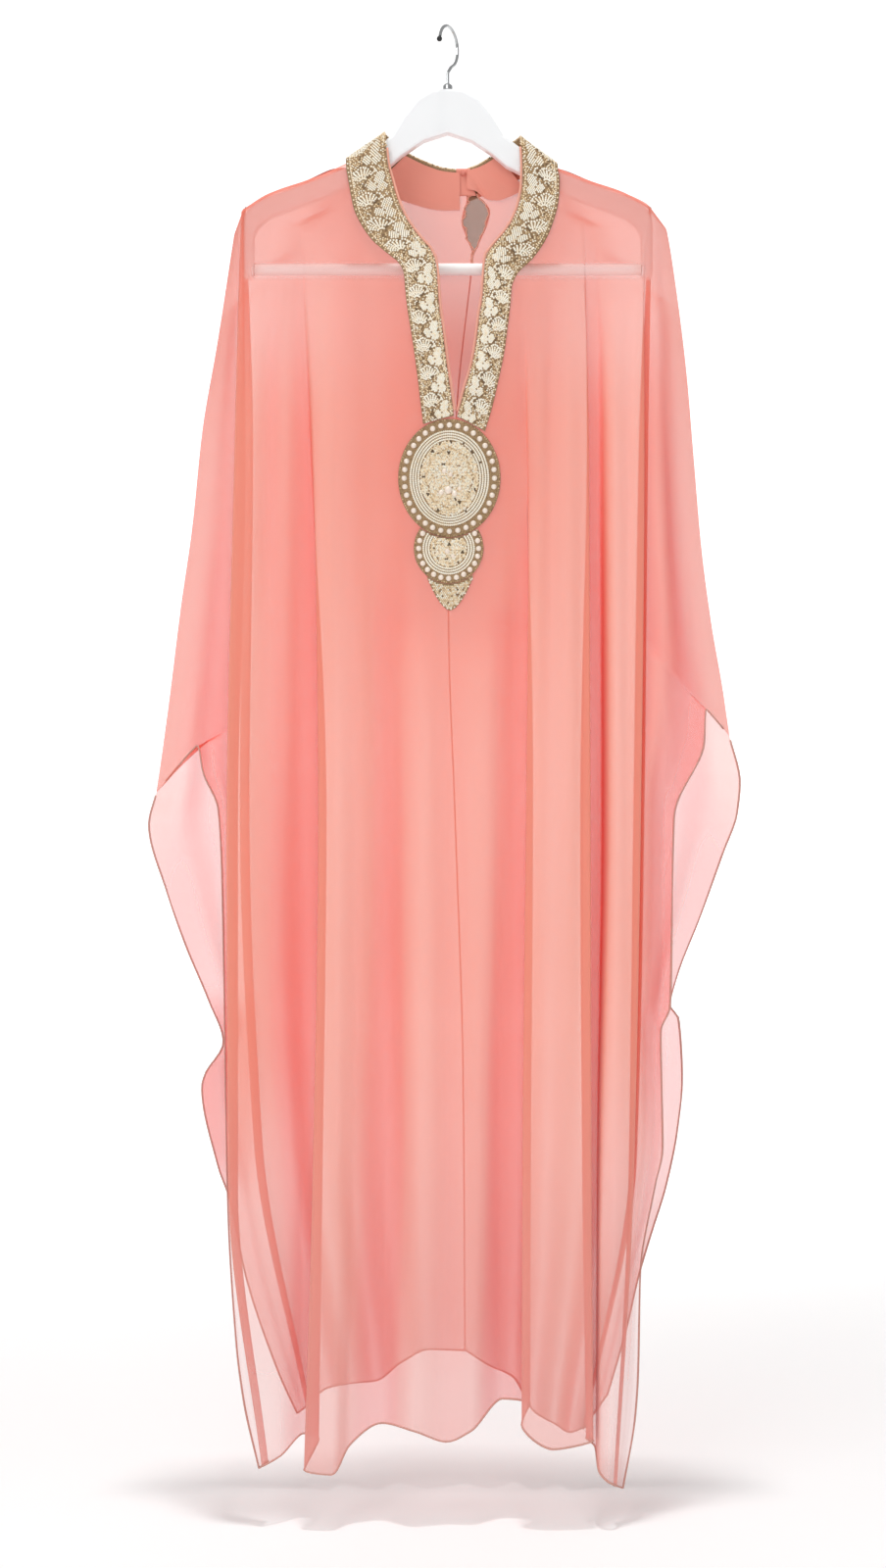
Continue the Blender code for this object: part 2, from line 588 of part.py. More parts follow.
def build_hanger(collection):
    """A closed triangular board with a round bar, and a wire hook that swivels in a ferrule."""
    white = new_material("White lacquered board", (0.9, 0.91, 0.9), 0.35)
    top = ((0, -65.5), (16, -67), (32, -76), (47, -95), (59, -115), (73, -125), (90, -138), (110, -150.3))
    top += ((150, -166), (197, -183.5), (209, -191.5), (BOARD_END - 1, -202), (BOARD_END, -213), (BOARD_END, -266))
    inner = BOARD_END - 12
    low = ((inner, -266), (inner, -222), (200, -212), (188, -202), (115, -174), (62, -148), (48, -136), (25, -121))
    right = list(top[1:]) + list(low)
    outline = [top[0]] + right + [(0, -113)] + [(-x, z) for x, z in reversed(right)]
    board = prism("hanger_frame", outline, -BOARD_THICK / 2, BOARD_THICK / 2, white, collection)
    add_bevel(board, 3.0, 2)
    radius = BAR_HEIGHT / 2
    centre = BAR_TOP - radius
    bar = round_rod("hanger_bar", radius, inner - SEAM_GAP, white, collection)
    bar.location = (0, 0, centre * MM)
    steel = new_material("Chrome wire", (0.75, 0.75, 0.76), 0.2, 1.0)
    turned("hanger_ferrule", ((0, -65.1), (5.2, -65.1), (5.2, -61.4), (3.4, -59.6), (0, -59.6)), 20, steel, collection)
    hook_wire(steel, collection)


def round_rod(name, radius, half_length, material, collection):
    sides = 16
    angles = np.arange(sides) * 2 * math.pi / sides
    points = [(x, radius * math.cos(a), radius * math.sin(a)) for x in (-half_length, half_length) for a in angles]
    faces = [tuple(range(sides)), tuple(range(2 * sides - 1, sides - 1, -1))]
    faces += [(i, (i + 1) % sides, (i + 1) % sides + sides, i + sides) for i in range(sides)]
    return new_object(name, points, faces, material, collection)


def turned(name, profile, sides, material, collection, centre=(0.0, 0.0)):
    """A solid turned about a vertical axis from a profile of radius and height that starts and ends on the axis."""
    rings = profile[1:-1]
    points = [(centre[0], centre[1], profile[0][1]), (centre[0], centre[1], profile[-1][1])]
    for radius, z in rings:
        for k in range(sides):
            angle = 2 * math.pi * k / sides
            points.append((centre[0] + radius * math.cos(angle), centre[1] + radius * math.sin(angle), z))
    last = 2 + (len(rings) - 1) * sides
    faces = []
    for k in range(sides):
        j = (k + 1) % sides
        faces.append((0, 2 + j, 2 + k))
        faces.append((1, last + k, last + j))
        for ring in range(len(rings) - 1):
            low = 2 + ring * sides
            faces.append((low + k, low + j, low + sides + j, low + sides + k))
    return new_object(name, points, faces, material, collection)


def hook_point(across, z):
    return (1.0 * (z > -45) + across * math.cos(HOOK_TURN), across * math.sin(HOOK_TURN), z)


def hook_wire(material, collection):
    """The hook: a straight shank, then three quarters of a ring whose inside top is the origin."""
    centre = WIRE_RADIUS - HOOK_RADIUS
    path = [(0.0, 0.0, -59.3), (0.0, 0.0, -52.0), (0.1, 0.3, -47.0), hook_point(4.5, -41.0)]
    for degrees in range(35, 256, 11):
        angle = math.radians(degrees)
        path.append(hook_point(HOOK_RADIUS * math.sin(angle), centre - HOOK_RADIUS * math.cos(angle)))
    tube("hanger_hook", path, WIRE_RADIUS, 2, material, collection)
    black = new_material("Black hook cap", (0.02, 0.02, 0.02), 0.4)
    end = np.array(path[-1])
    heading = end - np.array(path[-2])
    heading /= np.linalg.norm(heading)
    centre_point = end + heading * (3.0 + SEAM_GAP)
    ball("hook_cap", centre_point, 3.0, 10, black, collection)


def ball(name, centre, radius, sides, material, collection):
    angles = np.linspace(0, math.pi, 7)
    profile = [(radius * math.sin(a), centre[2] - radius * math.cos(a)) for a in angles]
    return turned(name, profile, sides, material, collection, (centre[0], centre[1]))


def tube(name, path, radius, resolution, material, collection):
    """A round cord along the path, as a curve with a bevel and closed ends."""
    curve = bpy.data.curves.new(name, "CURVE")
    curve.dimensions = "3D"
    curve.bevel_depth = radius * MM
    curve.bevel_resolution = resolution
    curve.use_fill_caps = True
    spline = curve.splines.new("POLY")
    spline.points.add(len(path) - 1)
    for point, place in zip(spline.points, path):
        point.co = (place[0] * MM, place[1] * MM, place[2] * MM, 1)
    curve.materials.append(material)
    thing = bpy.data.objects.new(name, curve)
    collection.objects.link(thing)
    return thing


def build_bands(collection):
    """The beaded placket and collar, the piping on its inner edge and the facing inside the back neck."""
    beaded = new_material("Beaded band", (0.72, 0.6, 0.42), 0.5)
    piping = new_material("Coral satin piping", (0.85, 0.42, 0.33), 0.5)
    lining = new_material("Coral crepe facing", (0.72, 0.3, 0.24), 0.7)
    sides = (
        ("left", LEFT_BAND_FRONT, LEFT_BAND_BACK, -1, (1.38, 1.36, 1.34, 1.3, 1.2), 0.4),
        ("right", RIGHT_BAND_FRONT, RIGHT_BAND_BACK, 1, (1.38, 1.38, 1.2, 0.75, 0.6), 2.2),
    )
    for word, front, back, side, drop, crumple in sides:
        grid, at = band_surface(front, back, 7.0, 6)
        placed = at_depth(grid[..., 0], grid[..., 1], grid[..., 2])
        thickness = BAND_WALL + band_relief(at, 6)
        wall_from_grid("band_" + word, placed, thickness, beaded, collection, side)
        outward = side * grid_normals(placed)[:, -1]
        inner = placed[:, -1]
        away = inner - placed[:, -2]
        away /= np.linalg.norm(away, axis=1, keepdims=True)
        path = inner + away * (1.3 + SEAM_GAP) + outward * 0.9
        reach = int(np.argmax(path[:, 2] > -128))
        tube("binding_" + word, path[1:reach], 1.2, 0, piping, collection)
        facing = facing_surface(back[7:], drop, crumple, 16)
        placed = at_depth(facing[..., 0], facing[..., 1], facing[..., 2])
        wall_from_grid("facing_" + word, placed, FACING_WALL, lining, collection, side)


def build_medallions(collection):
    """The oval medallion, the roundel tucked under it and the pointed tip."""
    beaded = new_material("Pearl and cord medallion", (0.78, 0.68, 0.5), 0.45)
    rings = (0, 0.25, 0.47, 0.56, 0.68, 0.8, 0.84, 0.89, 0.95, 1)
    disc_on_front("medallion", MEDALLION, medallion_reach, rings, 72, medallion_height, beaded, collection)
    rings = (0, 0.3, 0.5, 0.62, 0.74, 0.8, 0.86, 0.94, 1)
    disc_on_front("roundel", ROUNDEL, roundel_reach, rings, 48, roundel_height, beaded, collection)
    tip = tip_surface()
    raised = np.full(tip.shape[:2], 1.6)
    raised[1:-1, 1:-1] = 2.8
    wall_from_grid("tip", tip, raised, beaded, collection, 1)


def build_button(collection):
    """The small covered button that closes the collar at the back."""
    covered = new_material("Covered button", (0.75, 0.34, 0.27), 0.6)
    centre = at_depth(np.array(16.5), np.array(33.0), np.array(-154.0))
    ball("neck_button", centre, 3.2, 12, covered, collection)


def build_cloth(collection, cutters):
    chiffon = new_material("Coral chiffon", (0.9, 0.42, 0.33), 0.7, alpha=0.8)
    front = wall_from_grid("front", front_panel(), CLOTH_WALL, chiffon, collection, 1)
    cut = front.modifiers.new("Neck opening", "BOOLEAN")
    cut.operation = "DIFFERENCE"
    cut.solver = "EXACT"
    cut.object = neck_cutter(cutters)
    wall_from_grid("back_left", back_panel(1), CLOTH_WALL, chiffon, collection, -1)
    wall_from_grid("back_right", back_panel(2), CLOTH_WALL, chiffon, collection, -1)


def main():
    for thing in list(bpy.data.objects):
        bpy.data.objects.remove(thing, do_unlink=True)
    bpy.context.scene.unit_settings.scale_length = 1.0
    collection = bpy.data.collections.new(OBJECT_NAME)
    cutters = bpy.data.collections.new(CUTTER_NAME)
    bpy.context.scene.collection.children.link(collection)
    bpy.context.scene.collection.children.link(cutters)
    cutters.hide_render = True
    build_hanger(collection)
    build_cloth(collection, cutters)
    build_bands(collection)
    build_medallions(collection)
    build_button(collection)


main()
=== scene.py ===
# %% [markdown]
# # A sheer kaftan on its hanger
#
# This lesson dresses a plain model of a long chiffon kaftan. The plain model is loaded first, as a frame:
# it has the right sizes, and it stays where it is. Each piece of the dress is then made again with finer
# folds, real beads and cloth that lets light through.
#
# Everything is measured in millimetres and turned into metres at the last step. X runs along the hanger,
# minus Y is the front of the dress, and Z is up. The origin is the inside of the hook's top.

import json
import math

import bmesh
import bpy
import numpy as np
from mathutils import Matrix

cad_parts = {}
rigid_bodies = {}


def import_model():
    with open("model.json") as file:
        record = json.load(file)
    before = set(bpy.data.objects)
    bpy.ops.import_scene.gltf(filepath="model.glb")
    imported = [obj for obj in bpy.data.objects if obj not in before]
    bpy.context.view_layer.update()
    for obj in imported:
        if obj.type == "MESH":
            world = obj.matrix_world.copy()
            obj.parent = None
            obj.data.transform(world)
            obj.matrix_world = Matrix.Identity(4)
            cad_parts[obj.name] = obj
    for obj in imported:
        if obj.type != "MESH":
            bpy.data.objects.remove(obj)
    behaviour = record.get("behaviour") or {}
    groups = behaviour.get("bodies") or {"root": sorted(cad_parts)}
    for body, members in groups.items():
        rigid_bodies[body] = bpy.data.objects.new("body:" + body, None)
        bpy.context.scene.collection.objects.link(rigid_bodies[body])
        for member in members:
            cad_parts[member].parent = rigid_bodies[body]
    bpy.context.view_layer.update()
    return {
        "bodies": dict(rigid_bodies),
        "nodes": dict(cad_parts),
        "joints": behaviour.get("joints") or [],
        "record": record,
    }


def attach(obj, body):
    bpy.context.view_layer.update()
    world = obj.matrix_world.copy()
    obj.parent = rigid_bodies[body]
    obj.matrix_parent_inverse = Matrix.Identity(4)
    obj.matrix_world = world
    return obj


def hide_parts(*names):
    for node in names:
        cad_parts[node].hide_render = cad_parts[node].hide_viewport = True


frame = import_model()
print("nodes:", ", ".join(sorted(frame["nodes"])))

# %% [markdown]
# ## Small helpers
#
# A garment is made of curves: the edge of a sleeve, the course of a fold.
# Each one is a short table here, and `smooth` draws a curve through it that never overshoots.
# A cubic through the same points would swing out between them and make bumps that the cloth doesn't have.

# %% Curves through tables
MM = 0.001


def column(table, index):
    """One column of a table."""
    return np.array([row[index] for row in table], float)


def smooth(knots, values, at):
    """A curve through the values, read at `at`.

    Each stretch is a cubic. Its slope at a knot is the harmonic mean of the slopes on both sides,
    or flat where they differ in sign, so the curve doesn't overshoot.
    """
    knots, values, at = (np.asarray(a, float) for a in (knots, values, at))
    flat = values.ndim == 1
    values = values[:, None] if flat else values
    step = np.diff(knots)[:, None]
    slope = np.diff(values, axis=0) / step
    product, total = slope[1:] * slope[:-1], slope[1:] + slope[:-1]
    tangent = np.zeros_like(values)
    tangent[1:-1] = np.where(product > 0, 2 * product / np.where(total == 0, 1, total), 0)
    tangent[0], tangent[-1] = slope[0], slope[-1]
    i = np.clip(np.searchsorted(knots, at, side="right") - 1, 0, len(knots) - 2)
    u = np.clip((at - knots[i])[..., None] / step[i], 0, 1)
    result = (
        values[i] * (1 + 2 * u) * (1 - u) ** 2
        + tangent[i] * step[i] * u * (1 - u) ** 2
        + values[i + 1] * u**2 * (3 - 2 * u)
        + tangent[i + 1] * step[i] * u**2 * (u - 1)
    )
    return result[..., 0] if flat else result


def ramp(value, start, end):
    """0 at the start, 1 at the end: the cubic 3u² - 2u³ between them."""
    u = np.clip((value - start) / (end - start), 0, 1)
    return u * u * (3 - 2 * u)


def read_table(table, at):
    """The second column of a table as a curve over its first, read at `at`."""
    return smooth(column(table, 0), column(table, 1), at)


# %% [markdown]
# The tables were measured on a flat picture of the dress, so they hold what a viewer sees in the plane of
# the hook. A point that stands nearer to the viewer looks larger, and `at_depth` undoes that.

# %% From the picture's plane to real depth
EYE_DISTANCE = 2600.0
EYE_X = -5.0
EYE_Z = -802.0


def at_depth(x, y, z):
    """A point seen at x, z in the hook's plane, moved along its sight line to the depth y."""
    scale = 1 + y / EYE_DISTANCE
    true_x, true_z = EYE_X + (x - EYE_X) * scale, EYE_Z + (z - EYE_Z) * scale
    return np.stack(np.broadcast_arrays(true_x, y, true_z), axis=-1)


def placed(seen):
    """`at_depth` for a whole grid of seen points."""
    return at_depth(*np.moveaxis(seen, -1, 0))


def normals_of(grid):
    """The unit normal at each point of a grid: the cross product of its two directions."""
    normal = np.cross(np.gradient(grid, axis=0), np.gradient(grid, axis=1))
    return normal / np.maximum(np.linalg.norm(normal, axis=-1, keepdims=True), 1e-9)


# %% [markdown]
# ## Meshes from arrays
#
# Blender reads whole arrays at once with `foreach_set`, which is far faster than adding one vertex at a
# time. Values that a material needs later, such as how deep a fold is, go along as attributes on the points.

# %% Arrays into objects
def new_piece(name, points, faces, material, slot, replaces=(), attributes=None, crisp=False):
    """A mesh object from points in millimetres and faces that all have the same number of corners."""
    points, faces = np.asarray(points, float).reshape(-1, 3), np.asarray(faces, np.int32)
    corners = faces.shape[1]
    mesh = bpy.data.meshes.new(name)
    mesh.vertices.add(len(points))
    mesh.vertices.foreach_set("co", (points * MM).astype(np.float32).ravel())
    mesh.loops.add(faces.size)
    mesh.loops.foreach_set("vertex_index", faces.ravel())
    mesh.polygons.add(len(faces))
    mesh.polygons.foreach_set("loop_start", np.arange(0, faces.size, corners, dtype=np.int32))
    mesh.update(calc_edges=True)
    mesh.polygons.foreach_set("use_smooth", np.full(len(faces), not crisp))
    for key, values in (attributes or {}).items():
        layer = mesh.attributes.new(key, "FLOAT", "POINT")
        layer.data.foreach_set("value", np.asarray(values, np.float32).ravel())
    mesh.materials.append(material)
    mesh.validate()
    piece = bpy.data.objects.new(name, mesh)
    bpy.context.scene.collection.objects.link(piece)
    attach(piece, "root")
    if replaces:
        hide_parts(*replaces)
    print(f"{name}: {len(points)} points, {len(faces)} faces")
    return piece


# %% Grids and cords
def weld(piece):
    """Merges points that share one place and turns the faces of the closed shape outwards."""
    shape = bmesh.new()
    shape.from_mesh(piece.data)
    bmesh.ops.remove_doubles(shape, verts=shape.verts, dist=0.00001)
    bmesh.ops.recalc_face_normals(shape, faces=shape.faces)
    shape.to_mesh(piece.data)
    shape.free()
    return piece


def grid_faces(rows, columns, closed=False):
    """The four-cornered faces of a grid of points, joined back to its first column where closed."""
    index = np.arange(rows * columns).reshape(rows, columns)
    if closed:
        index = np.concatenate([index, index[:, :1]], axis=1)
    return np.stack([index[:-1, :-1], index[1:, :-1], index[1:, 1:], index[:-1, 1:]], -1).reshape(-1, 4)


def cord_points(path, radius, sides, reference):
    """Rings round a path, square to it. The reference is a direction that the path never takes."""
    path = np.asarray(path, float)
    along = np.gradient(path, axis=0)
    along /= np.linalg.norm(along, axis=1, keepdims=True)
    first = np.cross(along, reference)
    first /= np.linalg.norm(first, axis=1, keepdims=True)
    second = np.cross(along, first)
    angle = np.arange(sides) * 2 * math.pi / sides
    radius = np.broadcast_to(np.asarray(radius, float), (len(path),))[:, None, None]
    ring = np.cos(angle)[None, :, None] * first[:, None] + np.sin(angle)[None, :, None] * second[:, None]
    return path[:, None] + ring * radius


def new_cord(name, path, radius, sides, reference, material, slot, **more):
    """A round cord along a path, with its ends drawn in to a point so that it is closed."""
    path = np.asarray(path, float)
    print(f"{name}: {np.linalg.norm(np.diff(path, axis=0), axis=1).sum():.0f} mm long")
    rings = cord_points(path, radius, sides, reference)
    first, last = (np.repeat(end[None, None], sides, 1) for end in (path[0], path[-1]))
    rings = np.concatenate([first, rings, last])
    return weld(new_piece(name, rings, grid_faces(len(rings), sides, closed=True), material, slot, **more))


# %% [markdown]
# ## Colours and nodes
#
# Colours are easiest to read as the hex codes of a paint program, which are sRGB. Blender mixes light in
# linear numbers, so one function converts them.

# %% Colour and node helpers
def linear(code):
    """A hex sRGB colour as linear RGBA."""
    value = np.array([int(code[i : i + 2], 16) for i in (0, 2, 4)]) / 255
    value = np.where(value <= 0.04045, value / 12.92, ((value + 0.055) / 1.055) ** 2.4)
    return (*value.tolist(), 1.0)


def add_node(tree, kind, settings=None, links=None):
    """Adds a node. Settings are its properties; links are socket values, or the sockets that feed them."""
    node = tree.nodes.new(kind)
    for key, value in (settings or {}).items():
        setattr(node, key, value)
    for key, value in (links or {}).items():
        if isinstance(value, bpy.types.NodeSocket):
            tree.links.new(value, node.inputs[key])
        else:
            node.inputs[key].default_value = value
    return node


def new_material(name, colour, roughness, metallic=0.0, **more):
    """A Principled material. More values go to its sockets by their names, with _ for a space."""
    material = bpy.data.materials.new(name)
    material.use_nodes = True
    shader = material.node_tree.nodes["Principled BSDF"]
    shader.inputs["Base Color"].default_value = linear(colour)
    shader.inputs["Roughness"].default_value = roughness
    shader.inputs["Metallic"].default_value = metallic
    for key, value in more.items():
        shader.inputs[key.replace("_", " ")].default_value = value
    return material, material.node_tree, shader


# %% Nodes that more than one material needs
def attribute(tree, name):
    """The socket that reads an attribute of the mesh."""
    return add_node(tree, "ShaderNodeAttribute", {"attribute_name": name}).outputs["Fac"]


def object_place(tree):
    """The socket that gives each point's place, in metres."""
    return add_node(tree, "ShaderNodeTexCoord").outputs["Object"]


def colour_ramp(tree, value, stops):
    """The socket of a ramp that turns a value into a colour between stops of position and hex code."""
    node = add_node(tree, "ShaderNodeValToRGB", None, {"Fac": value})
    elements = node.color_ramp.elements
    elements[0].position, elements[0].color = stops[0][0], linear(stops[0][1])
    elements[1].position, elements[1].color = stops[-1][0], linear(stops[-1][1])
    for position, code in stops[1:-1]:
        elements.new(position).color = linear(code)
    return node.outputs["Color"]


def wash(tree, axis, start, end, low, high):
    """The socket of a value that runs softly from low to high while a coordinate goes from start to end."""
    axes = add_node(tree, "ShaderNodeSeparateXYZ", None, {"Vector": object_place(tree)})
    limits = {"From Min": start, "From Max": end, "To Min": low, "To Max": high}
    values = {"Value": axes.outputs[axis], **limits}
    node = add_node(tree, "ShaderNodeMapRange", {"interpolation_type": "SMOOTHSTEP"}, values)
    return node.outputs["Result"]


# %% [markdown]
# ## The chiffon
#
# Chiffon is a plain weave of thin crepe yarn with gaps between the threads, so about half of the light goes
# straight through one layer. Where the cloth turns away from the viewer, more yarn lies along the sight
# line and it looks denser, which is what draws every fold of a sheer dress. The meshes carry that density,
# and the depth of the folds, as attributes. The material reads them: density becomes alpha, and the fold
# depth paints shade and light into the colour. A valley is painted a deeper coral, standing in for the light
# that bounces between its walls, and a ridge a paler coral, as a painted highlight.

# %% Chiffon material
RIDGE_PAINTED_LIGHT = "FCA38D"
CORAL_MIDDLE = "F98B75"
VALLEY_PAINTED_SHADE = "F84830"
PINK_LOW = "E6A3A1"
YARN_MM = 0.9  # real crepe yarn is 0.25 mm apart, which is too fine to show
PINK_FROM, PINK_FULL = -0.95, -1.5  # heights in metres between which the cloth turns pinker


def chiffon(name):
    """Sheer cloth: `fold` picks its colour, with painted shade in valleys and painted light on ridges,
    `dense` is its alpha, and it turns pinker towards the hem.
    """
    material, tree, shader = new_material(
        name, CORAL_MIDDLE, 0.7, Specular_IOR_Level=0.15, Sheen_Weight=0.18, Sheen_Roughness=0.45
    )
    # Painted shade and light: valleys take a deeper coral, ridges a paler one.
    stops = ((0.0, VALLEY_PAINTED_SHADE), (0.5, CORAL_MIDDLE), (1.0, RIDGE_PAINTED_LIGHT))
    tone = colour_ramp(tree, attribute(tree, "fold"), stops)
    low = wash(tree, "Z", PINK_FROM, PINK_FULL, 0.0, 0.5)
    colour = add_node(tree, "ShaderNodeMix", {"data_type": "RGBA"}, {0: low, 6: tone, 7: linear(PINK_LOW)})
    yarn = {"Vector": object_place(tree), "Scale": 1 / (YARN_MM * MM), "Detail": 1.0}
    crepe = add_node(tree, "ShaderNodeTexNoise", None, yarn)
    relief = {"Height": crepe.outputs["Fac"], "Strength": 0.12, "Distance": 0.0004}
    bump = add_node(tree, "ShaderNodeBump", None, relief)
    tree.links.new(colour.outputs[2], shader.inputs["Base Color"])
    tree.links.new(attribute(tree, "dense"), shader.inputs["Alpha"])
    tree.links.new(bump.outputs["Normal"], shader.inputs["Normal"])
    return material


CHIFFON = chiffon("Coral crepe chiffon")
HEM, _, _ = new_material("Rolled chiffon hem, dense", "D6A092", 0.7, Sheen_Weight=0.1, Alpha=0.8)
SEAM, _, _ = new_material("Pressed chiffon seam", "EF8874", 0.7, Alpha=0.85)

# %% [markdown]
# ## How the cloth hangs
#
# The hanger's board holds the cloth along the shoulders. From there it falls, a little further from the
# hanger's plane with each hand's breadth, and breaks into folds. The same functions shape the plain model,
# so the fine cloth lies on it.

# %% The cloth's plain surface
SHOULDER = (
    (0, -133), (92, -135.5), (98, -139), (104, -142.6), (110, -146.2), (150, -162), (197, -179),
    (215, -190), (222, -199),
)
BACK_NECK = ((0, -176), (40, -163), (70, -151), (92, -144.5), (104, -142.6))
DRAPE = ((0, 0), (60, 3.5), (260, 16), (650, 35), (1050, 48), (1420, 60))
TRIM_ROOM = (
    (-700, 0), (-650, 20), (-600, 46), (-540, 60), (-480, 72), (-420, 62), (-270, 78), (-215, 118),
    (-100, 122),
)
CHEST_OUT, COLLAR_OUT = 24, 32
HALF_SEAM = 0.15
CLOTH_WALL = 1.2


def shoulder_height(x):
    """The height of the hanger's top edge, the same on both sides."""
    return read_table(SHOULDER, np.abs(x))


def below_shoulder(x, z):
    """How far a point lies below the shoulder line, never less than 0."""
    return np.maximum(shoulder_height(x) - z, 0)


def hang(x, z):
    """Depth of a plain cloth: a quarter ellipse over the board's rounded top, then the slow drape."""
    below = below_shoulder(x, z)
    turn, reach = 4.0, 9.5
    over_board = reach * np.sqrt(1 - (1 - np.minimum(below, turn) / turn) ** 2)
    return over_board + read_table(DRAPE, below)


def front_depth(x, z):
    """The front: the plain hang, with a soft round chest under the beaded trim."""
    chest = CHEST_OUT * np.exp(-((x / 100) ** 2) - ((z + 300) / 170) ** 2)
    return hang(x, z) + chest * ramp(below_shoulder(x, z), 0, 60)


def back_depth(x, z):
    """The back: round at the neck, then a cone that widens downwards."""
    width = 108 + 0.8 * np.maximum(-150 - z, 0)
    share = np.clip(1 - (x / width) ** 2, 0, 1) ** 0.6
    return hang(x, z) + COLLAR_OUT * share * np.exp(-(((z + 150) / 260) ** 2))


def fold_freedom(x, z):
    """0 under and beside the beaded trim, where the cloth is flat, and 1 away from it."""
    room = read_table(TRIM_ROOM, z)
    return ramp(np.abs(x - 2) - room, 0, 34) * ramp(below_shoulder(x, z), 4, 160)


# %% [markdown]
# ## The folds
#
# Nobody sews a fold: it forms where the cloth has more width than the hanger. Each row below is one fold
# line, from left to right: its x at the shoulder, at three heights and at the hem, how far it stands out at
# chest, waist and hem, how low the hem hangs there, and how many steps lead to the next line. Where x goes
# back on itself, as from *first under fold* to *first fold edge*, the cloth doubles over, and three layers
# lie behind each other.

# %% Fold tables of the front
STATIONS = (0.0, 0.2, 0.5, 0.78, 1.0)
OUT_STATIONS = (0.0, 0.2, 0.5, 1.0)
FRONT_FOLDS = (
    ("left under fold", -216, -214, -222, -222, -190, -12, -16, -8, -1520, 1),
    ("left fold edge", -219, -226, -234, -232, -197, 12, 16, 8, -1526, 2),
    ("left flat", -192, -190, -185, -182, -178, 1, -2, -4, -1515, 2),
    ("left valley", -168, -156, -150, -152, -153, -4, -10, -22, -1491, 1),
    ("first under fold", -160, -146, -128, -132, -136, -3, -8, -18, -1497, 1),
    ("first fold edge", -154, -142, -137, -143, -152, 5, 10, 16, -1530, 1),
    ("first fold crown", -130, -118, -116, -120, -124, 7, 13, 20, -1535, 2),
    ("soft step", -104, -94, -94, -97, -104, 3, 3, 0, -1503, 2),
    ("left centre valley", -80, -64, -64, -66, -70, -2, -4, -12, -1480, 2),
    ("centre ridge, left", -40, -30, -28, -28, -35, 2, 5, 10, -1489, 1),
    ("centre ridge", -4, 0, 0, 2, -2, 2, 7, 14, -1500, 1),
    ("centre ridge, right", 32, 30, 30, 30, 24, 1, 4, 4, -1489, 2),
    ("right centre valley", 60, 60, 60, 58, 58, -2, -4, -18, -1454, 1),
    ("second under fold", 76, 82, 91, 89, 88, -2, -6, -12, -1459, 1),
    ("second fold edge", 82, 87, 84, 80, 79, 4, 8, 12, -1482, 2),
    ("second fold crown", 112, 118, 118, 114, 112, 7, 13, 20, -1508, 2),
    ("third fold edge", 140, 149, 151, 152, 154, 5, 10, 14, -1499, 1),
    ("third under fold", 146, 147, 140, 142, 146, -5, -13, -10, -1496, 1),
    ("deep valley", 154, 160, 162, 158, 157, -8, -20, -10, -1506, 1),
    ("fourth fold edge", 164, 171, 172, 163, 161, 4, 8, 12, -1531, 1),
    ("fourth fold crown", 180, 186, 186, 178, 171, 8, 14, 18, -1543, 2),
    ("right fold edge", 207, 208, 204, 196, 179, 6, 10, 8, -1547, 1),
    ("right under fold", 212, 202, 196, 191, 176, -6, -10, -6, -1546, 1),
)
LEFT_WING = ((0.36, -2), (0.7, 5))
RIGHT_WING = ((0.3, 9), (0.55, 3), (0.8, -3))
FRONT_LEFT_EDGE = (
    (0.0, -226, -219, 0), (0.077, -244, -334, 0), (0.139, -260, -427, 0), (0.208, -271, -531, 0),
    (0.264, -283, -615, 0), (0.334, -296, -719, 0), (0.395, -309, -811, 0), (0.416, -266, -761, 18),
    (0.439, -259, -790, 24), (0.479, -243, -830, 28), (0.54, -239, -906, 30), (0.62, -237, -1010, 34),
    (0.8, -233, -1244, 42), (0.91, -224, -1395, 50), (0.957, -216, -1457, 54), (1.0, -200, -1528, 58),
)
FRONT_RIGHT_EDGE = (
    (0.0, 232, -214, 0), (0.02, 237, -242, 0), (0.1, 253, -365, 0), (0.155, 261, -459, 0),
    (0.21, 269, -552, 0), (0.258, 280, -635, 0), (0.294, 291, -698, 0), (0.325, 299, -752, 0),
    (0.343, 274, -723, 16), (0.375, 272, -758, 20), (0.45, 240, -838, 26), (0.6, 236, -1037, 34),
    (0.63, 226, -1066, 36), (0.72, 228, -1188, 38), (0.755, 220, -1228, 40), (0.83, 204, -1324, 44),
    (0.9, 202, -1426, 52), (0.94, 199, -1473, 56), (1.0, 186, -1549, 60),
)
print(f"{len(FRONT_FOLDS)} fold lines on the front")


# %% From fold lines to a grid
def fold_lines(folds, rows, depth, sign, top, freedom=None):
    """The course of each fold down a panel: x and height out through its stations, then its depth."""
    lines = []
    for fold in folds:
        x = smooth(STATIONS, fold[1:6], rows)
        start = top(fold[1])
        z = start + (fold[9] - start) * rows
        out = smooth(OUT_STATIONS, (0,) + fold[6:9], rows)
        if freedom is not None:
            out = out * freedom(x, z)
        lines.append(np.stack([x, sign * (depth(x, z) + out), z], axis=-1))
    return lines


def edge_line(edge, rows, sign):
    """A panel's side edge: the shoulder fold, then the free edge."""
    at = column(edge, 0)
    x, z, y = (smooth(at, column(edge, i), rows) for i in (1, 2, 3))
    return np.stack([x, sign * np.maximum(y, HALF_SEAM), z], axis=-1)


def wing_lines(inner, edge, wing, sign):
    """Lines between the body's under fold and the side edge, bulging out from the straight line."""
    width = np.abs(edge[:, 0] - inner[:, 0])
    lines = []
    for share, out in wing:
        line = inner + (edge - inner) * share
        line[:, 1] = inner[:, 1] + (edge[:, 1] - inner[:, 1]) * share**1.5
        line[:, 1] += sign * out * np.clip(width / 40, 0, 1) * ramp(np.abs(line[:, 1]), 8, 20)
        lines.append(line)
    return lines


def columns_through(lines, steps):
    """A grid whose columns run through the lines, with the given steps from each to the next."""
    lines = np.array(lines)
    places = [0.0]
    for i, count in enumerate(steps):
        places += [i + (k + 1) / count for k in range(count)]
    grid = smooth(np.arange(len(lines)), lines.reshape(len(lines), -1), places)
    return grid.reshape(len(places), lines.shape[1], 3).transpose(1, 0, 2)
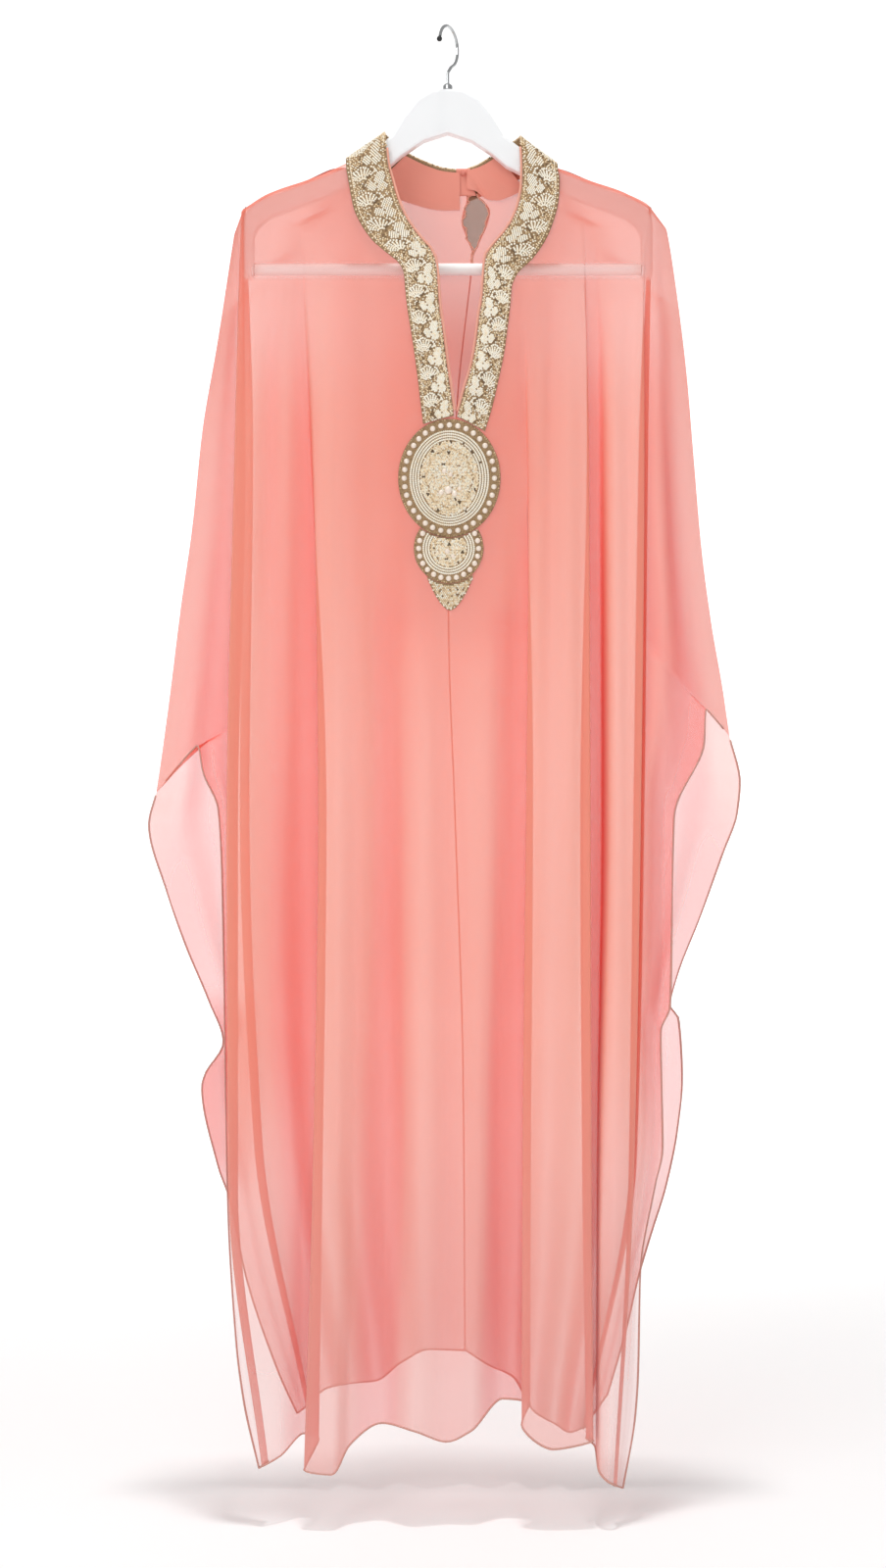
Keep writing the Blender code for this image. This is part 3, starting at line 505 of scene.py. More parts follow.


# %% [markdown]
# ## Creases
#
# Between the large folds lie many shallow ones. Each is listed as a soft trough or ridge: a bell
# curve across, fading in and out along its line. They differ in length, depth and spacing, as no two creases
# of a real cloth match.

# %% Creases of the front
# x and z at the top end, x and z at the low end, width, height out (a trough is negative), in millimetres.
FRONT_CREASES = (
    (-205, -260, -212, -760, 9, 2.2), (-188, -300, -196, -640, 12, -2.4), (-172, -240, -170, -900, 8, 1.9),
    (-150, -330, -133, -820, 10, -2.6), (-131, -230, -121, -700, 7, 2.0),
    (-112, -420, -104, -1180, 11, -2.0),
    (-88, -560, -84, -1100, 9, 1.6), (-58, -720, -52, -1330, 13, -2.2), (-20, -700, -12, -1290, 12, 1.8),
    (16, -690, 14, -1220, 9, -1.6), (44, -640, 44, -1080, 10, 1.7), (72, -520, 74, -1200, 8, -1.9),
    (98, -330, 100, -1350, 9, 2.2), (108, -290, 104, -760, 6, -1.8), (128, -270, 134, -980, 8, 2.1),
    (143, -520, 140, -1300, 6, -1.7), (176, -260, 178, -900, 7, 2.3), (192, -330, 190, -1180, 8, -2.4),
    (203, -250, 199, -720, 6, 1.9), (-226, -420, -232, -1120, 7, -1.6), (-240, -520, -262, -760, 8, 2.1),
    (246, -430, 262, -690, 8, -2.0), (228, -420, 236, -980, 7, 1.8), (-162, -1180, -166, -1470, 9, 2.2),
    (-118, -1240, -121, -1500, 8, -1.8), (168, -1150, 164, -1500, 7, -1.9), (2, -1330, -6, -1490, 14, -2.0),
)


def crease_relief(creases, x, z):
    """How far the creases push the cloth out: a bell across each line, soft at its start and end."""
    out = np.zeros_like(x)
    for x0, z0, x1, z1, width, height in creases:
        along = (z - z0) / (z1 - z0)
        centre = x0 + (x1 - x0) * along
        fade = ramp(along, -0.12, 0.25) * (1 - ramp(along, 0.7, 1.1))
        out += height * fade * np.exp(-(((x - centre) / width) ** 2))
    return out


# %% [markdown]
# The density of one layer follows from its tilt. Light that crosses a weave at an angle meets more yarn, by
# one over the cosine of that angle, so the part that gets through is raised to that power.

# %% Density and fold depth, point by point
ROW_POWER = 1.5


def cloth_attributes(grid, seen, depth, sign, flat_density):
    """`dense` is the alpha of one layer, `fold` runs from 0 in a valley to 1 on a ridge."""
    facing = np.abs(normals_of(grid)[..., 1])
    through = (1 - flat_density) ** (1 / np.clip(facing, 0.3, 1))
    out = sign * seen[..., 1] - depth(seen[..., 0], seen[..., 2])
    fold = 0.5 + 0.5 * np.tanh(out / 8) * ramp(np.abs(seen[..., 1]), 4, 20)
    return {"dense": 1 - through, "fold": fold}


def panel_rows(count):
    """Shares of the way down a panel, closer together at the shoulder, where the cloth turns sharply."""
    return np.linspace(0, 1, count) ** ROW_POWER


def panel_grid(lines, steps, sign, creases, freedom):
    """A panel's grid as seen and in its place: columns through the lines, then the creases on them.

    The sign is 1 for the back and -1 for the front. The grid is the middle of the cloth's wall.
    """
    seen = columns_through(lines, steps)
    out = sign * seen[..., 1]
    free = freedom(seen[..., 0], seen[..., 2]) * ramp(out, 2, 14)
    out = out + crease_relief(creases, seen[..., 0], seen[..., 2]) * free
    seen[..., 1] = sign * np.maximum(out, HALF_SEAM)
    grid = placed(seen)
    return seen, grid - sign * normals_of(grid) * CLOTH_WALL / 2


# %% The front panel's grid
FRONT_ROW_COUNT = 260
FRONT_SPLIT = 5
rows = panel_rows(FRONT_ROW_COUNT)
body = fold_lines(FRONT_FOLDS, rows, front_depth, -1, shoulder_height, fold_freedom)
left_edge = edge_line(FRONT_LEFT_EDGE, rows, -1)
right_edge = edge_line(FRONT_RIGHT_EDGE, rows, -1)
left_wing = wing_lines(body[0], left_edge, LEFT_WING, -1)[::-1]
right_wing = wing_lines(body[-1], right_edge, RIGHT_WING, -1)
lines = [left_edge] + left_wing + body + right_wing + [right_edge]
steps = [2, 1, 1] + [fold[10] for fold in FRONT_FOLDS] + [1, 1, 1]
seen, front_grid = panel_grid(lines, [FRONT_SPLIT * s for s in steps], -1, FRONT_CREASES, fold_freedom)
print("front grid", front_grid.shape)

# %% [markdown]
# How dense each part of the front looks was fitted to the picture. The body is denser than the wings,
# and the cloth thins out over the chest, at the hem, at the lower sides and over the hanger's bar.

# %% How dense the front looks
BODY_DENSITY = 0.68
WING_DENSITY = 0.47
CHEST_THINNING = 0.9
HEM_THINNING = 0.6
BAR_HEIGHT = -257.5
BAR_REACH = 7.5
BAR_GLOW = 0.28
SIDE_THINNING = 0.23
PAINTED_SIDE_LIGHT = 0.4
CHEST_ZONE, HEM_ZONE, BAR_ENDS = (-430, -300), (1340, 1480), (195, 215)
SIDE_ZONE, LOWER_ZONE = (140, 185), (1050, 1300)
x, z = seen[..., 0], seen[..., 2]
places = np.arange(seen.shape[1])
first_fold, last_fold = 4 * FRONT_SPLIT, seen.shape[1] - 1 - 3 * FRONT_SPLIT
in_body = ramp(places, first_fold - 8, first_fold + 1) * (1 - ramp(places, last_fold - 1, last_fold + 8))
chest, low = ramp(z, *CHEST_ZONE), ramp(-z, *HEM_ZONE)
side = ramp(np.abs(x), *SIDE_ZONE) * ramp(-z, *LOWER_ZONE)
on_bar = np.exp(-(((z - BAR_HEIGHT) / BAR_REACH) ** 4)) * (1 - ramp(np.abs(x), *BAR_ENDS))
kept = 1 - CHEST_THINNING * chest - HEM_THINNING * low
density = WING_DENSITY + (BODY_DENSITY - WING_DENSITY) * in_body * kept
density -= SIDE_THINNING * side
density -= BAR_GLOW * on_bar
front_looks = cloth_attributes(front_grid, seen, front_depth, -1, density)
# Painted light: the fold value is raised at the lower sides, so the colour there turns towards the paler
# ridge coral.
front_looks["fold"] = np.minimum(front_looks["fold"] + PAINTED_SIDE_LIGHT * side, 1)
print(f"density from {density.min():.2f} to {density.max():.2f}")

# %% [markdown]
# ## The neck opening
#
# The beaded bands are sewn over the cut edge of the cloth, so the opening only has to be a little smaller
# than they are. The faces of the grid whose middle lies inside the opening's outline are left out.

# %% Band tables
LEFT_BAND_FRONT = (
    (-26, -420, 6.5, -411), (-29, -395, 3.5, -388), (-32, -369, 0, -363), (-38.5, -323, -5, -323),
    (-43, -295, -9, -295), (-45, -275, -11, -268), (-46.5, -260, -13, -248), (-52, -249, -19, -234),
    (-65, -238, -28, -224), (-80, -225, -38, -211), (-92, -208, -46, -198), (-99, -193, -53, -182),
    (-103, -175, -59, -162), (-106, -158, -64, -142),
)
RIGHT_BAND_FRONT = (
    (39.5, -427.5, 10, -412), (47, -402, 18, -383), (54, -372, 25, -360), (60, -342, 30, -334),
    (64, -312, 33.5, -306), (66.5, -290, 37, -284), (67.5, -276, 38.5, -262), (73, -262, 40.5, -243),
    (91.5, -243, 48, -231), (103, -226, 59, -218), (111, -208, 69, -203), (117, -186, 76, -184),
    (118.5, -170, 79, -166), (118.5, -160, 79.5, -149),
)
LEFT_BAND_BACK = (
    (-107.5, -148.5, -65.5, -127, -11.3, -11.5), (-107.5, -141.5, -66.5, -116, -7.5, -8.5),
    (-107.5, -139.8, -67, -112.5, 0, 0), (-106.5, -141.5, -66.5, -112.5, 8, 8),
    (-104.5, -147, -65.5, -114, 15, 13), (-100, -149, -63, -117, 21, 18), (-88, -152, -56, -123, 28, 23),
    (-70, -160, -43, -133, 36, 29), (-40, -173, -20, -144, 43, 36), (-12, -182, -4, -149, 45, 38),
    (13, -186, 13, -151, 45.5, 38.5),
)
RIGHT_BAND_BACK = (
    (117, -152.5, 79, -134, -11.3, -11.7), (116, -146.5, 77.5, -121, -7.5, -8.5),
    (115.5, -144.8, 77, -116.5, 0, 0), (114.5, -146.5, 76.5, -116.5, 8, 8),
    (111.5, -151.5, 75, -118, 14, 13), (104, -153, 71, -120.5, 18, 17), (90, -155, 64, -125, 28, 23),
    (74, -161, 52, -133, 35, 29), (50, -172, 38, -142, 42, 35.5), (34, -179, 28, -147, 44, 37.5),
    (20, -185, 20, -150, 45, 38.5),
)

# %% The opening's outline
BAND_OVERLAP = 9.0


def opening_outline():
    """The opening as seen: along each band, a little inside its outer edge, then over the hanger."""
    sides = []
    for stations in (LEFT_BAND_FRONT[:0:-1], RIGHT_BAND_FRONT[1:]):
        table = np.array(stations, float)
        outer, inner = table[:, :2], table[:, 2:]
        reach = BAND_OVERLAP / np.linalg.norm(inner - outer, axis=1, keepdims=True)
        sides.append(outer + (inner - outer) * reach)
    over = [(110.0, -130.0), (110.0, -100.0), (-98.0, -100.0), (-98.0, -130.0)]
    return np.concatenate([sides[0], [(8.0, -411.0)], sides[1], over])


def inside(outline, x, z):
    """Whether each point lies inside the outline: a ray to the right crosses it an odd number of times."""
    start, end = outline, np.roll(outline, -1, axis=0)
    crossings = np.zeros(x.shape, int)
    for (x0, z0), (x1, z1) in zip(start, end):
        spans = (z0 > z) != (z1 > z)
        cross_x = x0 + (z - z0) * (x1 - x0) / np.where(z1 == z0, 1e-9, z1 - z0)
        crossings += spans & (x < cross_x)
    return crossings % 2 == 1


faces = grid_faces(*front_grid.shape[:2])
middle = seen.reshape(-1, 3)[faces].mean(axis=1)
faces = faces[~inside(opening_outline(), middle[:, 0], middle[:, 2])]
front = new_piece(
    "front_chiffon", front_grid, faces, CHIFFON, "chiffon", replaces=["front"], attributes=front_looks
)

# %% [markdown]
# ## The back
#
# The back is cut in two halves and closed by a seam down the middle, with a keyhole below the neck. It hangs
# wider than the front: past the front's edges only one layer is left, so the sleeves' ends look much paler.

# %% Tables of the back
BACK_LEFT_EDGE = (
    (0.0, -226, -219, 0), (0.09, -244, -334, 0), (0.16, -260, -427, 0), (0.24, -271, -531, 0),
    (0.305, -283, -615, 0), (0.385, -296, -719, 0), (0.46, -309, -811, 0), (0.49, -317, -846, 8),
    (0.54, -298, -916, 16), (0.585, -278, -973, 22), (0.635, -253, -1033, 28), (0.67, -238, -1076, 36),
    (0.7, -258, -1111, 42), (0.712, -261, -1124, 43), (0.78, -244, -1207, 47), (0.81, -231, -1244, 49),
    (0.88, -215, -1322, 52), (0.965, -180, -1426, 56), (1.0, -160, -1470, 58),
)
BACK_RIGHT_EDGE = (
    (0.0, 232, -214, 0), (0.02, 237, -242, 0), (0.13, 253, -365, 0), (0.205, 261, -459, 0),
    (0.28, 269, -552, 0), (0.345, 280, -635, 0), (0.4, 291, -698, 0), (0.46, 299, -752, 0),
    (0.49, 310, -799, 6), (0.515, 307, -833, 10), (0.54, 292, -875, 16), (0.585, 268, -942, 24),
    (0.635, 243, -1007, 30), (0.66, 236, -1037, 36), (0.675, 245, -1051, 40), (0.72, 249, -1114, 44),
    (0.77, 244, -1168, 47), (0.82, 232, -1228, 50), (0.865, 216, -1280, 53), (0.9, 203, -1324, 55),
    (0.945, 190, -1380, 57), (1.0, 170, -1450, 60),
)
BACK_LEFT_FOLDS = (
    ("side under fold", -214, -206, -210, -196, -146, -6, -10, -8, -1460, 1),
    ("side fold", -218, -216, -220, -205, -150, 8, 14, 10, -1462, 2),
    ("side valley", -186, -186, -186, -170, -128, -4, -10, -16, -1443, 2),
    ("outer ridge", -150, -150, -150, -140, -101, 6, 11, 18, -1438, 2),
    ("outer valley", -116, -112, -112, -104, -75, -4, -10, -16, -1435, 2),
    ("inner ridge", -80, -76, -74, -66, -48, 3, 9, 16, -1415, 2),
    ("inner valley", -44, -38, -38, -30, -20, -2, -7, -10, -1402, 2),
)
BACK_RIGHT_FOLDS = (
    ("inner valley", 62, 44, 42, 42, 44, -2, -7, -10, -1419, 2),
    ("inner ridge", 88, 78, 76, 74, 68, 3, 9, 16, -1430, 2),
    ("outer valley", 118, 114, 112, 106, 90, -4, -10, -16, -1466, 2),
    ("outer ridge", 152, 150, 148, 140, 112, 6, 11, 18, -1480, 2),
    ("side valley", 186, 182, 180, 170, 130, -4, -10, -16, -1490, 2),
    ("side fold", 216, 212, 208, 200, 146, 8, 14, 10, -1484, 1),
    ("side under fold", 213, 204, 200, 193, 143, -6, -10, -8, -1486, 1),
)

# %% Wings, centre edge and creases of the back
BACK_WING = ((0.36, 4), (0.7, -4))
CENTRE_BACK = (
    (-176, 24, 30), (-194, 18.5, 43), (-205, 16.6, 41), (-222, 21, 35), (-241, 26.4, 27.2),
    (-262, 24.2, 25.0), (-400, 9.6, 10.2), (-621, 0.6, 1.2), (-850, 8.0, 8.6), (-1114, 16.0, 16.6),
    (-1420, 18.0, 18.6),
)
BACK_CREASES = (
    (-196, -280, -204, -700, 8, 2.0), (-168, -330, -170, -980, 10, -2.2), (-134, -260, -130, -820, 8, 1.9),
    (-96, -380, -90, -1120, 9, -2.0), (-60, -430, -52, -900, 10, 1.6), (-24, -640, -14, -1280, 11, -1.8),
    (28, -560, 30, -1080, 9, 1.7), (60, -420, 58, -960, 8, -1.8), (98, -300, 94, -900, 9, 2.1),
    (132, -420, 128, -1240, 8, -2.1), (168, -290, 162, -860, 8, 2.0), (200, -320, 196, -1080, 7, -1.9),
    (-240, -560, -262, -880, 9, 2.4), (-268, -700, -288, -880, 7, -2.0), (250, -520, 268, -820, 8, 2.2),
    (274, -680, 288, -830, 7, -1.8), (-120, -1200, -96, -1420, 9, 2.0), (120, -1240, 96, -1440, 9, -2.0),
)


def back_neck_height(x):
    """The back panel's upper edge: the neck's curve in the middle, then the shoulder line."""
    neck = read_table(BACK_NECK, np.abs(x))
    return np.where(np.abs(x) < BACK_NECK[-1][0], neck, shoulder_height(x))


def centre_line(side, rows, z_hem, out):
    """The edge of one back half at the centre back, with the keyhole's curve near the top."""
    start = CENTRE_BACK[0][0]
    z = start + (z_hem - start) * rows
    x = smooth(column(CENTRE_BACK, 0)[::-1], column(CENTRE_BACK, side)[::-1], z)
    lift = smooth(OUT_STATIONS, (0,) + out, rows)
    return np.stack([x, back_depth(x, z) + lift, z], axis=-1)


# %% How freely the back folds and how dense it looks
BACK_ROW_COUNT = 230
BACK_SPLIT = 6
CHEST_DENSITY = 0.73
SLIT_PAINTED_SHADE = 0.14
BULGE_DENSITY = 0.22
BACK_HEM_CENTRE = -1403


def back_freedom(x, z):
    """0 at the shoulder, where the cloth is flat, and 1 a hand's breadth below it."""
    return ramp(below_shoulder(x, z), 30, 160)


def back_density(x, z):
    """Denser at the chest and where the left side bulges, which the picture shows; denser behind the slit as
    painted shade, for the shadow that the bands cast there.
    """
    chest = np.exp(-((x / 150) ** 4)) * ramp(z, -900, -420)
    bulge = ramp(-x, 195, 215) * ramp(-z, 1010, 1060) * (1 - ramp(-z, 1180, 1260))
    # Painted shade: the back is made denser behind the slit, for the shadow of the bands.
    slit = np.exp(-(((x - 5) / 45) ** 2) - ((z + 345) / 60) ** 2)
    return WING_DENSITY + (CHEST_DENSITY - WING_DENSITY) * chest + BULGE_DENSITY * bulge + SLIT_PAINTED_SHADE * slit


# %% Each half from its tables
def back_half(side):
    """One half from its side edge to the centre back (left), or the other way round (right)."""
    rows = panel_rows(BACK_ROW_COUNT)
    folds = BACK_LEFT_FOLDS if side == 1 else BACK_RIGHT_FOLDS
    body = fold_lines(folds, rows, back_depth, 1, back_neck_height)
    edge = edge_line(BACK_LEFT_EDGE if side == 1 else BACK_RIGHT_EDGE, rows, 1)
    centre = centre_line(side, rows, BACK_HEM_CENTRE, (1, 4, 8))
    steps = [fold[10] for fold in folds]
    if side == 1:
        lines = [edge] + wing_lines(body[0], edge, BACK_WING, 1)[::-1] + body + [centre]
        steps = [1, 1, 1] + steps
    else:
        lines = [centre] + body + wing_lines(body[-1], edge, BACK_WING, 1) + [edge]
        steps = [2] + steps[:-1] + [1, 1, 1]
    seen, grid = panel_grid(lines, [BACK_SPLIT * s for s in steps], 1, BACK_CREASES, back_freedom)
    return grid, cloth_attributes(grid, seen, back_depth, 1, back_density(seen[..., 0], seen[..., 2]))


back_grids, backs = {}, {}
for word, side in (("left", 1), ("right", 2)):
    grid, looks = back_half(side)
    faces = grid_faces(*grid.shape[:2])[:, ::-1]
    back_grids[word] = grid
    backs[word] = new_piece(
        f"back_{word}_chiffon", grid, faces, CHIFFON, "chiffon", replaces=[f"back_{word}"], attributes=looks
    )

# %% [markdown]
# ## Rolled hems
#
# A sheer cloth gets the narrowest hem there is: the edge is rolled between finger and thumb and caught with
# tiny stitches. The roll is four layers thick, so it shows as a fine dark line round the see-through panel.
# A cord along the panel's edge, slightly uneven in radius, gives it.

# %% Hems along the free edges
HEM_RADIUS = 1.0
ALONG_Y = np.array([0.0, 1.0, 0.0])


def hem_path(grid, left_from, right_from):
    """Down the left edge from a share of its rows, along the bottom, and up the right edge."""
    count = len(grid)
    left = grid[int(left_from * count) :, 0] if left_from < 1 else grid[-1:, 0]
    right = grid[int(right_from * count) :, -1][::-1] if right_from < 1 else grid[-1:, -1]
    return np.concatenate([left, grid[-1, 1:-1], right])


def row_share(share):
    """The share of the rows above a place that lies a given share of the way down the panel."""
    return share ** (1 / ROW_POWER)


def uneven(count, seed):
    """A radius that wanders a little along the hem."""
    wander = np.random.default_rng(seed).normal(size=count // 6 + 3)
    at = np.linspace(0, len(wander) - 1, count)
    return HEM_RADIUS * (1 + 0.12 * np.interp(at, np.arange(len(wander)), wander))


hem_paths = {
    "front": hem_path(front_grid, row_share(0.4), row_share(0.33)),
    "back_left": hem_path(back_grids["left"], row_share(0.462), 1),
    "back_right": hem_path(back_grids["right"], 1, row_share(0.462)),
}
for seed, (word, path) in enumerate(hem_paths.items()):
    new_cord(f"hem_{word}", path, uneven(len(path), seed), 6, ALONG_Y, HEM, "chiffon")

# %% The centre back seam
seam_rows = back_grids["left"][:, -1], back_grids["right"][:, 0]
closed = seam_rows[0][:, 2] < -245
seam_path = ((seam_rows[0] + seam_rows[1]) / 2)[closed]
seam = new_cord("centre_back_seam", seam_path[::2], 0.7, 6, ALONG_Y, SEAM, "chiffon")

# %% [markdown]
# ## Pieces with thickness
#
# The beaded bands are stiff: a brown net, interlined, a millimetre and a half thick. Such a piece is a grid
# and its copy pushed out along the normals, closed by a rim.

# %% Closed walls
def new_wall(name, grid, thickness, side, material, slot, **more):
    """A closed wall of the given thickness over a grid, on the given side of it."""
    normal = side * normals_of(grid)
    points = np.concatenate([grid.reshape(-1, 3), (grid + normal * thickness).reshape(-1, 3)])
    rows, columns = grid.shape[:2]
    index = np.arange(rows * columns).reshape(rows, columns)
    loop = np.concatenate([index[0, :-1], index[:-1, -1], index[-1, :0:-1], index[:0:-1, 0]])
    following, up = np.roll(loop, -1), rows * columns
    rim = np.stack([loop, loop + up, following + up, following], axis=-1)
    quads = grid_faces(rows, columns)
    faces = np.concatenate([quads + up, quads[:, ::-1], rim])
    return new_piece(name, points, faces if side > 0 else faces[:, ::-1], material, slot, **more)


# %% [markdown]
# ## Beads
#
# A seed bead is a glass bead of about two millimetres. Thousands of them cover the trim, so each one is an
# icosahedron: twelve points, smooth shaded, which reads as a round bead at this size. All beads of a piece
# go into one mesh, worked out in one step, and each carries its own tone from cream to dark brown.

# %% Materials of the trim
BEADS, bead_tree, bead_shader = new_material(
    "Cream and gold seed beads", "FFFAEC", 0.35, Specular_IOR_Level=0.55, Coat_Weight=0.25
)
BEAD_TONES = ((0.0, "4A3A26"), (0.2, "94724A"), (0.42, "DFC092"), (0.68, "FBE6C2"), (1.0, "FFFAEC"))
bead_colour = colour_ramp(bead_tree, attribute(bead_tree, "tone"), BEAD_TONES)
bead_tree.links.new(bead_colour, bead_shader.inputs["Base Color"])
PEARL, _, _ = new_material("Faceted cream pearls", "F2E3D4", 0.25, Coat_Weight=0.5, Specular_IOR_Level=0.6)
NET, net_tree, net_shader = new_material("Brown embroidered net", "8F7150", 0.75)
NET_CELL = 1.4
cells = {"Vector": object_place(net_tree), "Scale": 1 / (NET_CELL * MM)}
net_cells = add_node(net_tree, "ShaderNodeTexVoronoi", None, cells)
net_colour = colour_ramp(net_tree, net_cells.outputs["Distance"], ((0.0, "BC9D74"), (1.0, "7E6243")))
net_tree.links.new(net_colour, net_shader.inputs["Base Color"])
SATIN, _, _ = new_material("Coral satin piping", "EBA58D", 0.42, Sheen_Weight=0.15)
CREPE, _, _ = new_material("Coral crepe facing", "F5A08E", 0.8, Sheen_Weight=0.15)

# %% Bead meshes
RNG = np.random.default_rng(7)
GOLDEN = (1 + math.sqrt(5)) / 2
ICO_POINTS = np.array(
    [(-1, GOLDEN, 0), (1, GOLDEN, 0), (-1, -GOLDEN, 0), (1, -GOLDEN, 0), (0, -1, GOLDEN), (0, 1, GOLDEN)]
    + [(0, -1, -GOLDEN), (0, 1, -GOLDEN), (GOLDEN, 0, -1), (GOLDEN, 0, 1), (-GOLDEN, 0, -1), (-GOLDEN, 0, 1)]
) / math.hypot(1, GOLDEN)
ICO_FACES = np.array(
    [(0, 11, 5), (0, 5, 1), (0, 1, 7), (0, 7, 10), (0, 10, 11), (1, 5, 9), (5, 11, 4), (11, 10, 2)]
    + [(10, 7, 6), (7, 1, 8), (3, 9, 4), (3, 4, 2), (3, 2, 6), (3, 6, 8), (3, 8, 9), (4, 9, 5)]
    + [(2, 4, 11), (6, 2, 10), (8, 6, 7), (9, 8, 1)]
)


def new_beads(name, centre, frames, sizes, tone, slot):
    """One ball per place, stretched along the three directions of its frame by its three sizes."""
    stretched = ICO_POINTS[None, :, :, None] * sizes[:, None, :, None] * frames[:, None]
    points = centre[:, None] + stretched.sum(axis=2)
    faces = ICO_FACES[None] + (np.arange(len(centre)) * len(ICO_POINTS))[:, None, None]
    tones = np.repeat(tone, len(ICO_POINTS))
    return new_piece(name, points, faces.reshape(-1, 3), BEADS, slot, attributes={"tone": tones})


def gather(groups):
    """Joins groups of places, radius, mean tone and spread. Each bead's tone is drawn at random."""
    places = np.concatenate([g[0] for g in groups])
    radius = np.concatenate([np.full(len(g[0]), g[1]) for g in groups])
    tone = np.concatenate([RNG.normal(g[2], g[3], len(g[0])) for g in groups])
    return places, radius, tone


def row_of(along, across):
    """Places along a straight row at one distance across."""
    return np.stack([along, np.full_like(along, across)], axis=1)


# %% [markdown]
# ## The beaded bands
#
# Each band runs from the medallion up the slit, round the neck and over the shoulder to the button at the
# back. Its edges are tables again: outer edge and inner edge at each station. Round the back each edge has
# its own depth, because the band stands up there as a collar.

# %% The bands' surface
SEAM_GAP = 0.3
TRIM_LIFT = CLOTH_WALL + 2 * SEAM_GAP
COLLAR_FOOT = -152.0
BAND_STEP = 2.5
BAND_COLUMNS = 12


def band_surface(front, back):
    """The band's inner face on a grid, as seen, and the length at each row along its middle."""
    share = np.linspace(0, 1, BAND_COLUMNS + 1)
    front, back = np.array(front, float)[:, :, None], np.array(back, float)[:, :, None]

    def between(table, outer, inner):
        return table[:, outer] + (table[:, inner] - table[:, outer]) * share

    x, z = between(front, 0, 2), between(front, 1, 3)
    lower = np.stack([x, -front_depth(x, np.minimum(z, COLLAR_FOOT)) - TRIM_LIFT, z], axis=-1)
    x, z, y = between(back, 0, 2), between(back, 1, 3), between(back, 4, 5)
    over_panel = (share < 0.75) & (back[:, 4] > 0)
    y = np.where(over_panel, np.maximum(y, back_depth(x, z) + TRIM_LIFT + SEAM_GAP), y)
    stations = np.concatenate([lower, np.stack([x, y, z], axis=-1)])
    middle = stations[:, BAND_COLUMNS // 2]
    length = np.concatenate([[0], np.cumsum(np.linalg.norm(np.diff(middle, axis=0), axis=1))])
    at = np.linspace(0, length[-1], int(round(length[-1] / BAND_STEP)) + 1)
    grid = smooth(length, stations.reshape(len(stations), -1), at).reshape(len(at), BAND_COLUMNS + 1, 3)
    return placed(grid), at


def on_grid(grid, row, col):
    """Points and frames at fractional rows and columns: bilinear between the four corners."""

    def between(values):
        i = np.clip(row.astype(int), 0, len(values) - 2)
        j = np.clip(col.astype(int), 0, values.shape[1] - 2)
        u, v = (row - i)[:, None], (col - j)[:, None]
        low = values[i, j] * (1 - v) + values[i, j + 1] * v
        high = values[i + 1, j] * (1 - v) + values[i + 1, j + 1] * v
        return low * (1 - u) + high * u

    def unit(vectors):
        return vectors / np.maximum(np.linalg.norm(vectors, axis=-1, keepdims=True), 1e-9)

    out = unit(between(normals_of(grid)))
    along = unit(between(np.gradient(grid, axis=0)))
    return between(grid), np.stack([along, np.cross(out, along), out], axis=1)


# %% [markdown]
# ## The pattern on the bands
#
# Every 29 mm the same two motifs come back, staggered: a three-lobed leaf on the inner side and an open fan
# on the outer side, both of cream beads. Small beads fill the ground between them, and dark ones follow the
# zigzag that parts leaf from fan. The motifs are laid out once, in millimetres, and repeated by adding an
# offset.

# %% One repeat of the pattern
BAND_REPEAT = 29.0
PLACKET_WIDTH = 34.0
ZIGZAG_START = 0.22
ZIGZAG_SWING = 0.17
BROWN_EDGE = 3.8
BEAD_SPACING = 1.9
PIPING_TOP = -128
FAN_FOOT = 7.0


def honeycomb(width, height, pitch):
    """Points on a honeycomb over a rectangle centred on the origin."""
    rows = np.arange(-height / 2, height / 2 + pitch, pitch * math.sqrt(3) / 2)
    columns = np.arange(-width / 2, width / 2 + pitch, pitch)
    a, b = np.meshgrid(rows, columns, indexing="ij")
    b = b + (np.arange(len(rows)) % 2)[:, None] * pitch / 2
    return np.stack([a.ravel(), b.ravel()], axis=1)


def in_ellipse(points, centre, half, turn=0.0):
    """Which points lie inside an ellipse turned by an angle."""
    d = points - np.asarray(centre)
    c, s = math.cos(turn), math.sin(turn)
    return ((c * d[:, 0] + s * d[:, 1]) / half[0]) ** 2 + ((c * d[:, 1] - s * d[:, 0]) / half[1]) ** 2 < 1


def leaf_motif():
    """Three lobes of cream beads: one that points up to the inner edge and two broad ones at its foot."""
    points = honeycomb(26, 26, BEAD_SPACING)
    keep = in_ellipse(points, (5.4, 2.6), (6.4, 4.4), 0.3)
    keep |= in_ellipse(points, (-2.2, -5.0), (4.9, 4.2), -0.6)
    keep |= in_ellipse(points, (-5.4, 3.0), (4.7, 4.1), 0.5)
    return points[keep]


def fan_motif():
    """Nine ribs of beads that spread from one point, closed by a scalloped rim."""
    angle = np.radians(np.linspace(-58, 58, 9))
    reach = np.arange(3.0, 13.5, BEAD_SPACING)
    a, r = np.meshgrid(angle, reach, indexing="ij")
    keep = (r > 6) | (np.arange(len(angle)) % 2 == 0)[:, None]
    ribs = np.stack([(r * np.cos(a))[keep] - FAN_FOOT, (r * np.sin(a))[keep]], axis=1)
    rim_angle = np.radians(np.linspace(-62, 62, 15))
    rim_reach = 14.6 + 0.8 * np.cos(rim_angle * 9)
    rim = np.stack([rim_reach * np.cos(rim_angle) - FAN_FOOT, rim_reach * np.sin(rim_angle)], axis=1)
    return ribs, rim


# %% The whole band's beads
GROUND_SPACING = 2.15
GROUND_ROOM = 1.95
GROUND_SHARE = 0.88
DARK_SHARE = 0.7


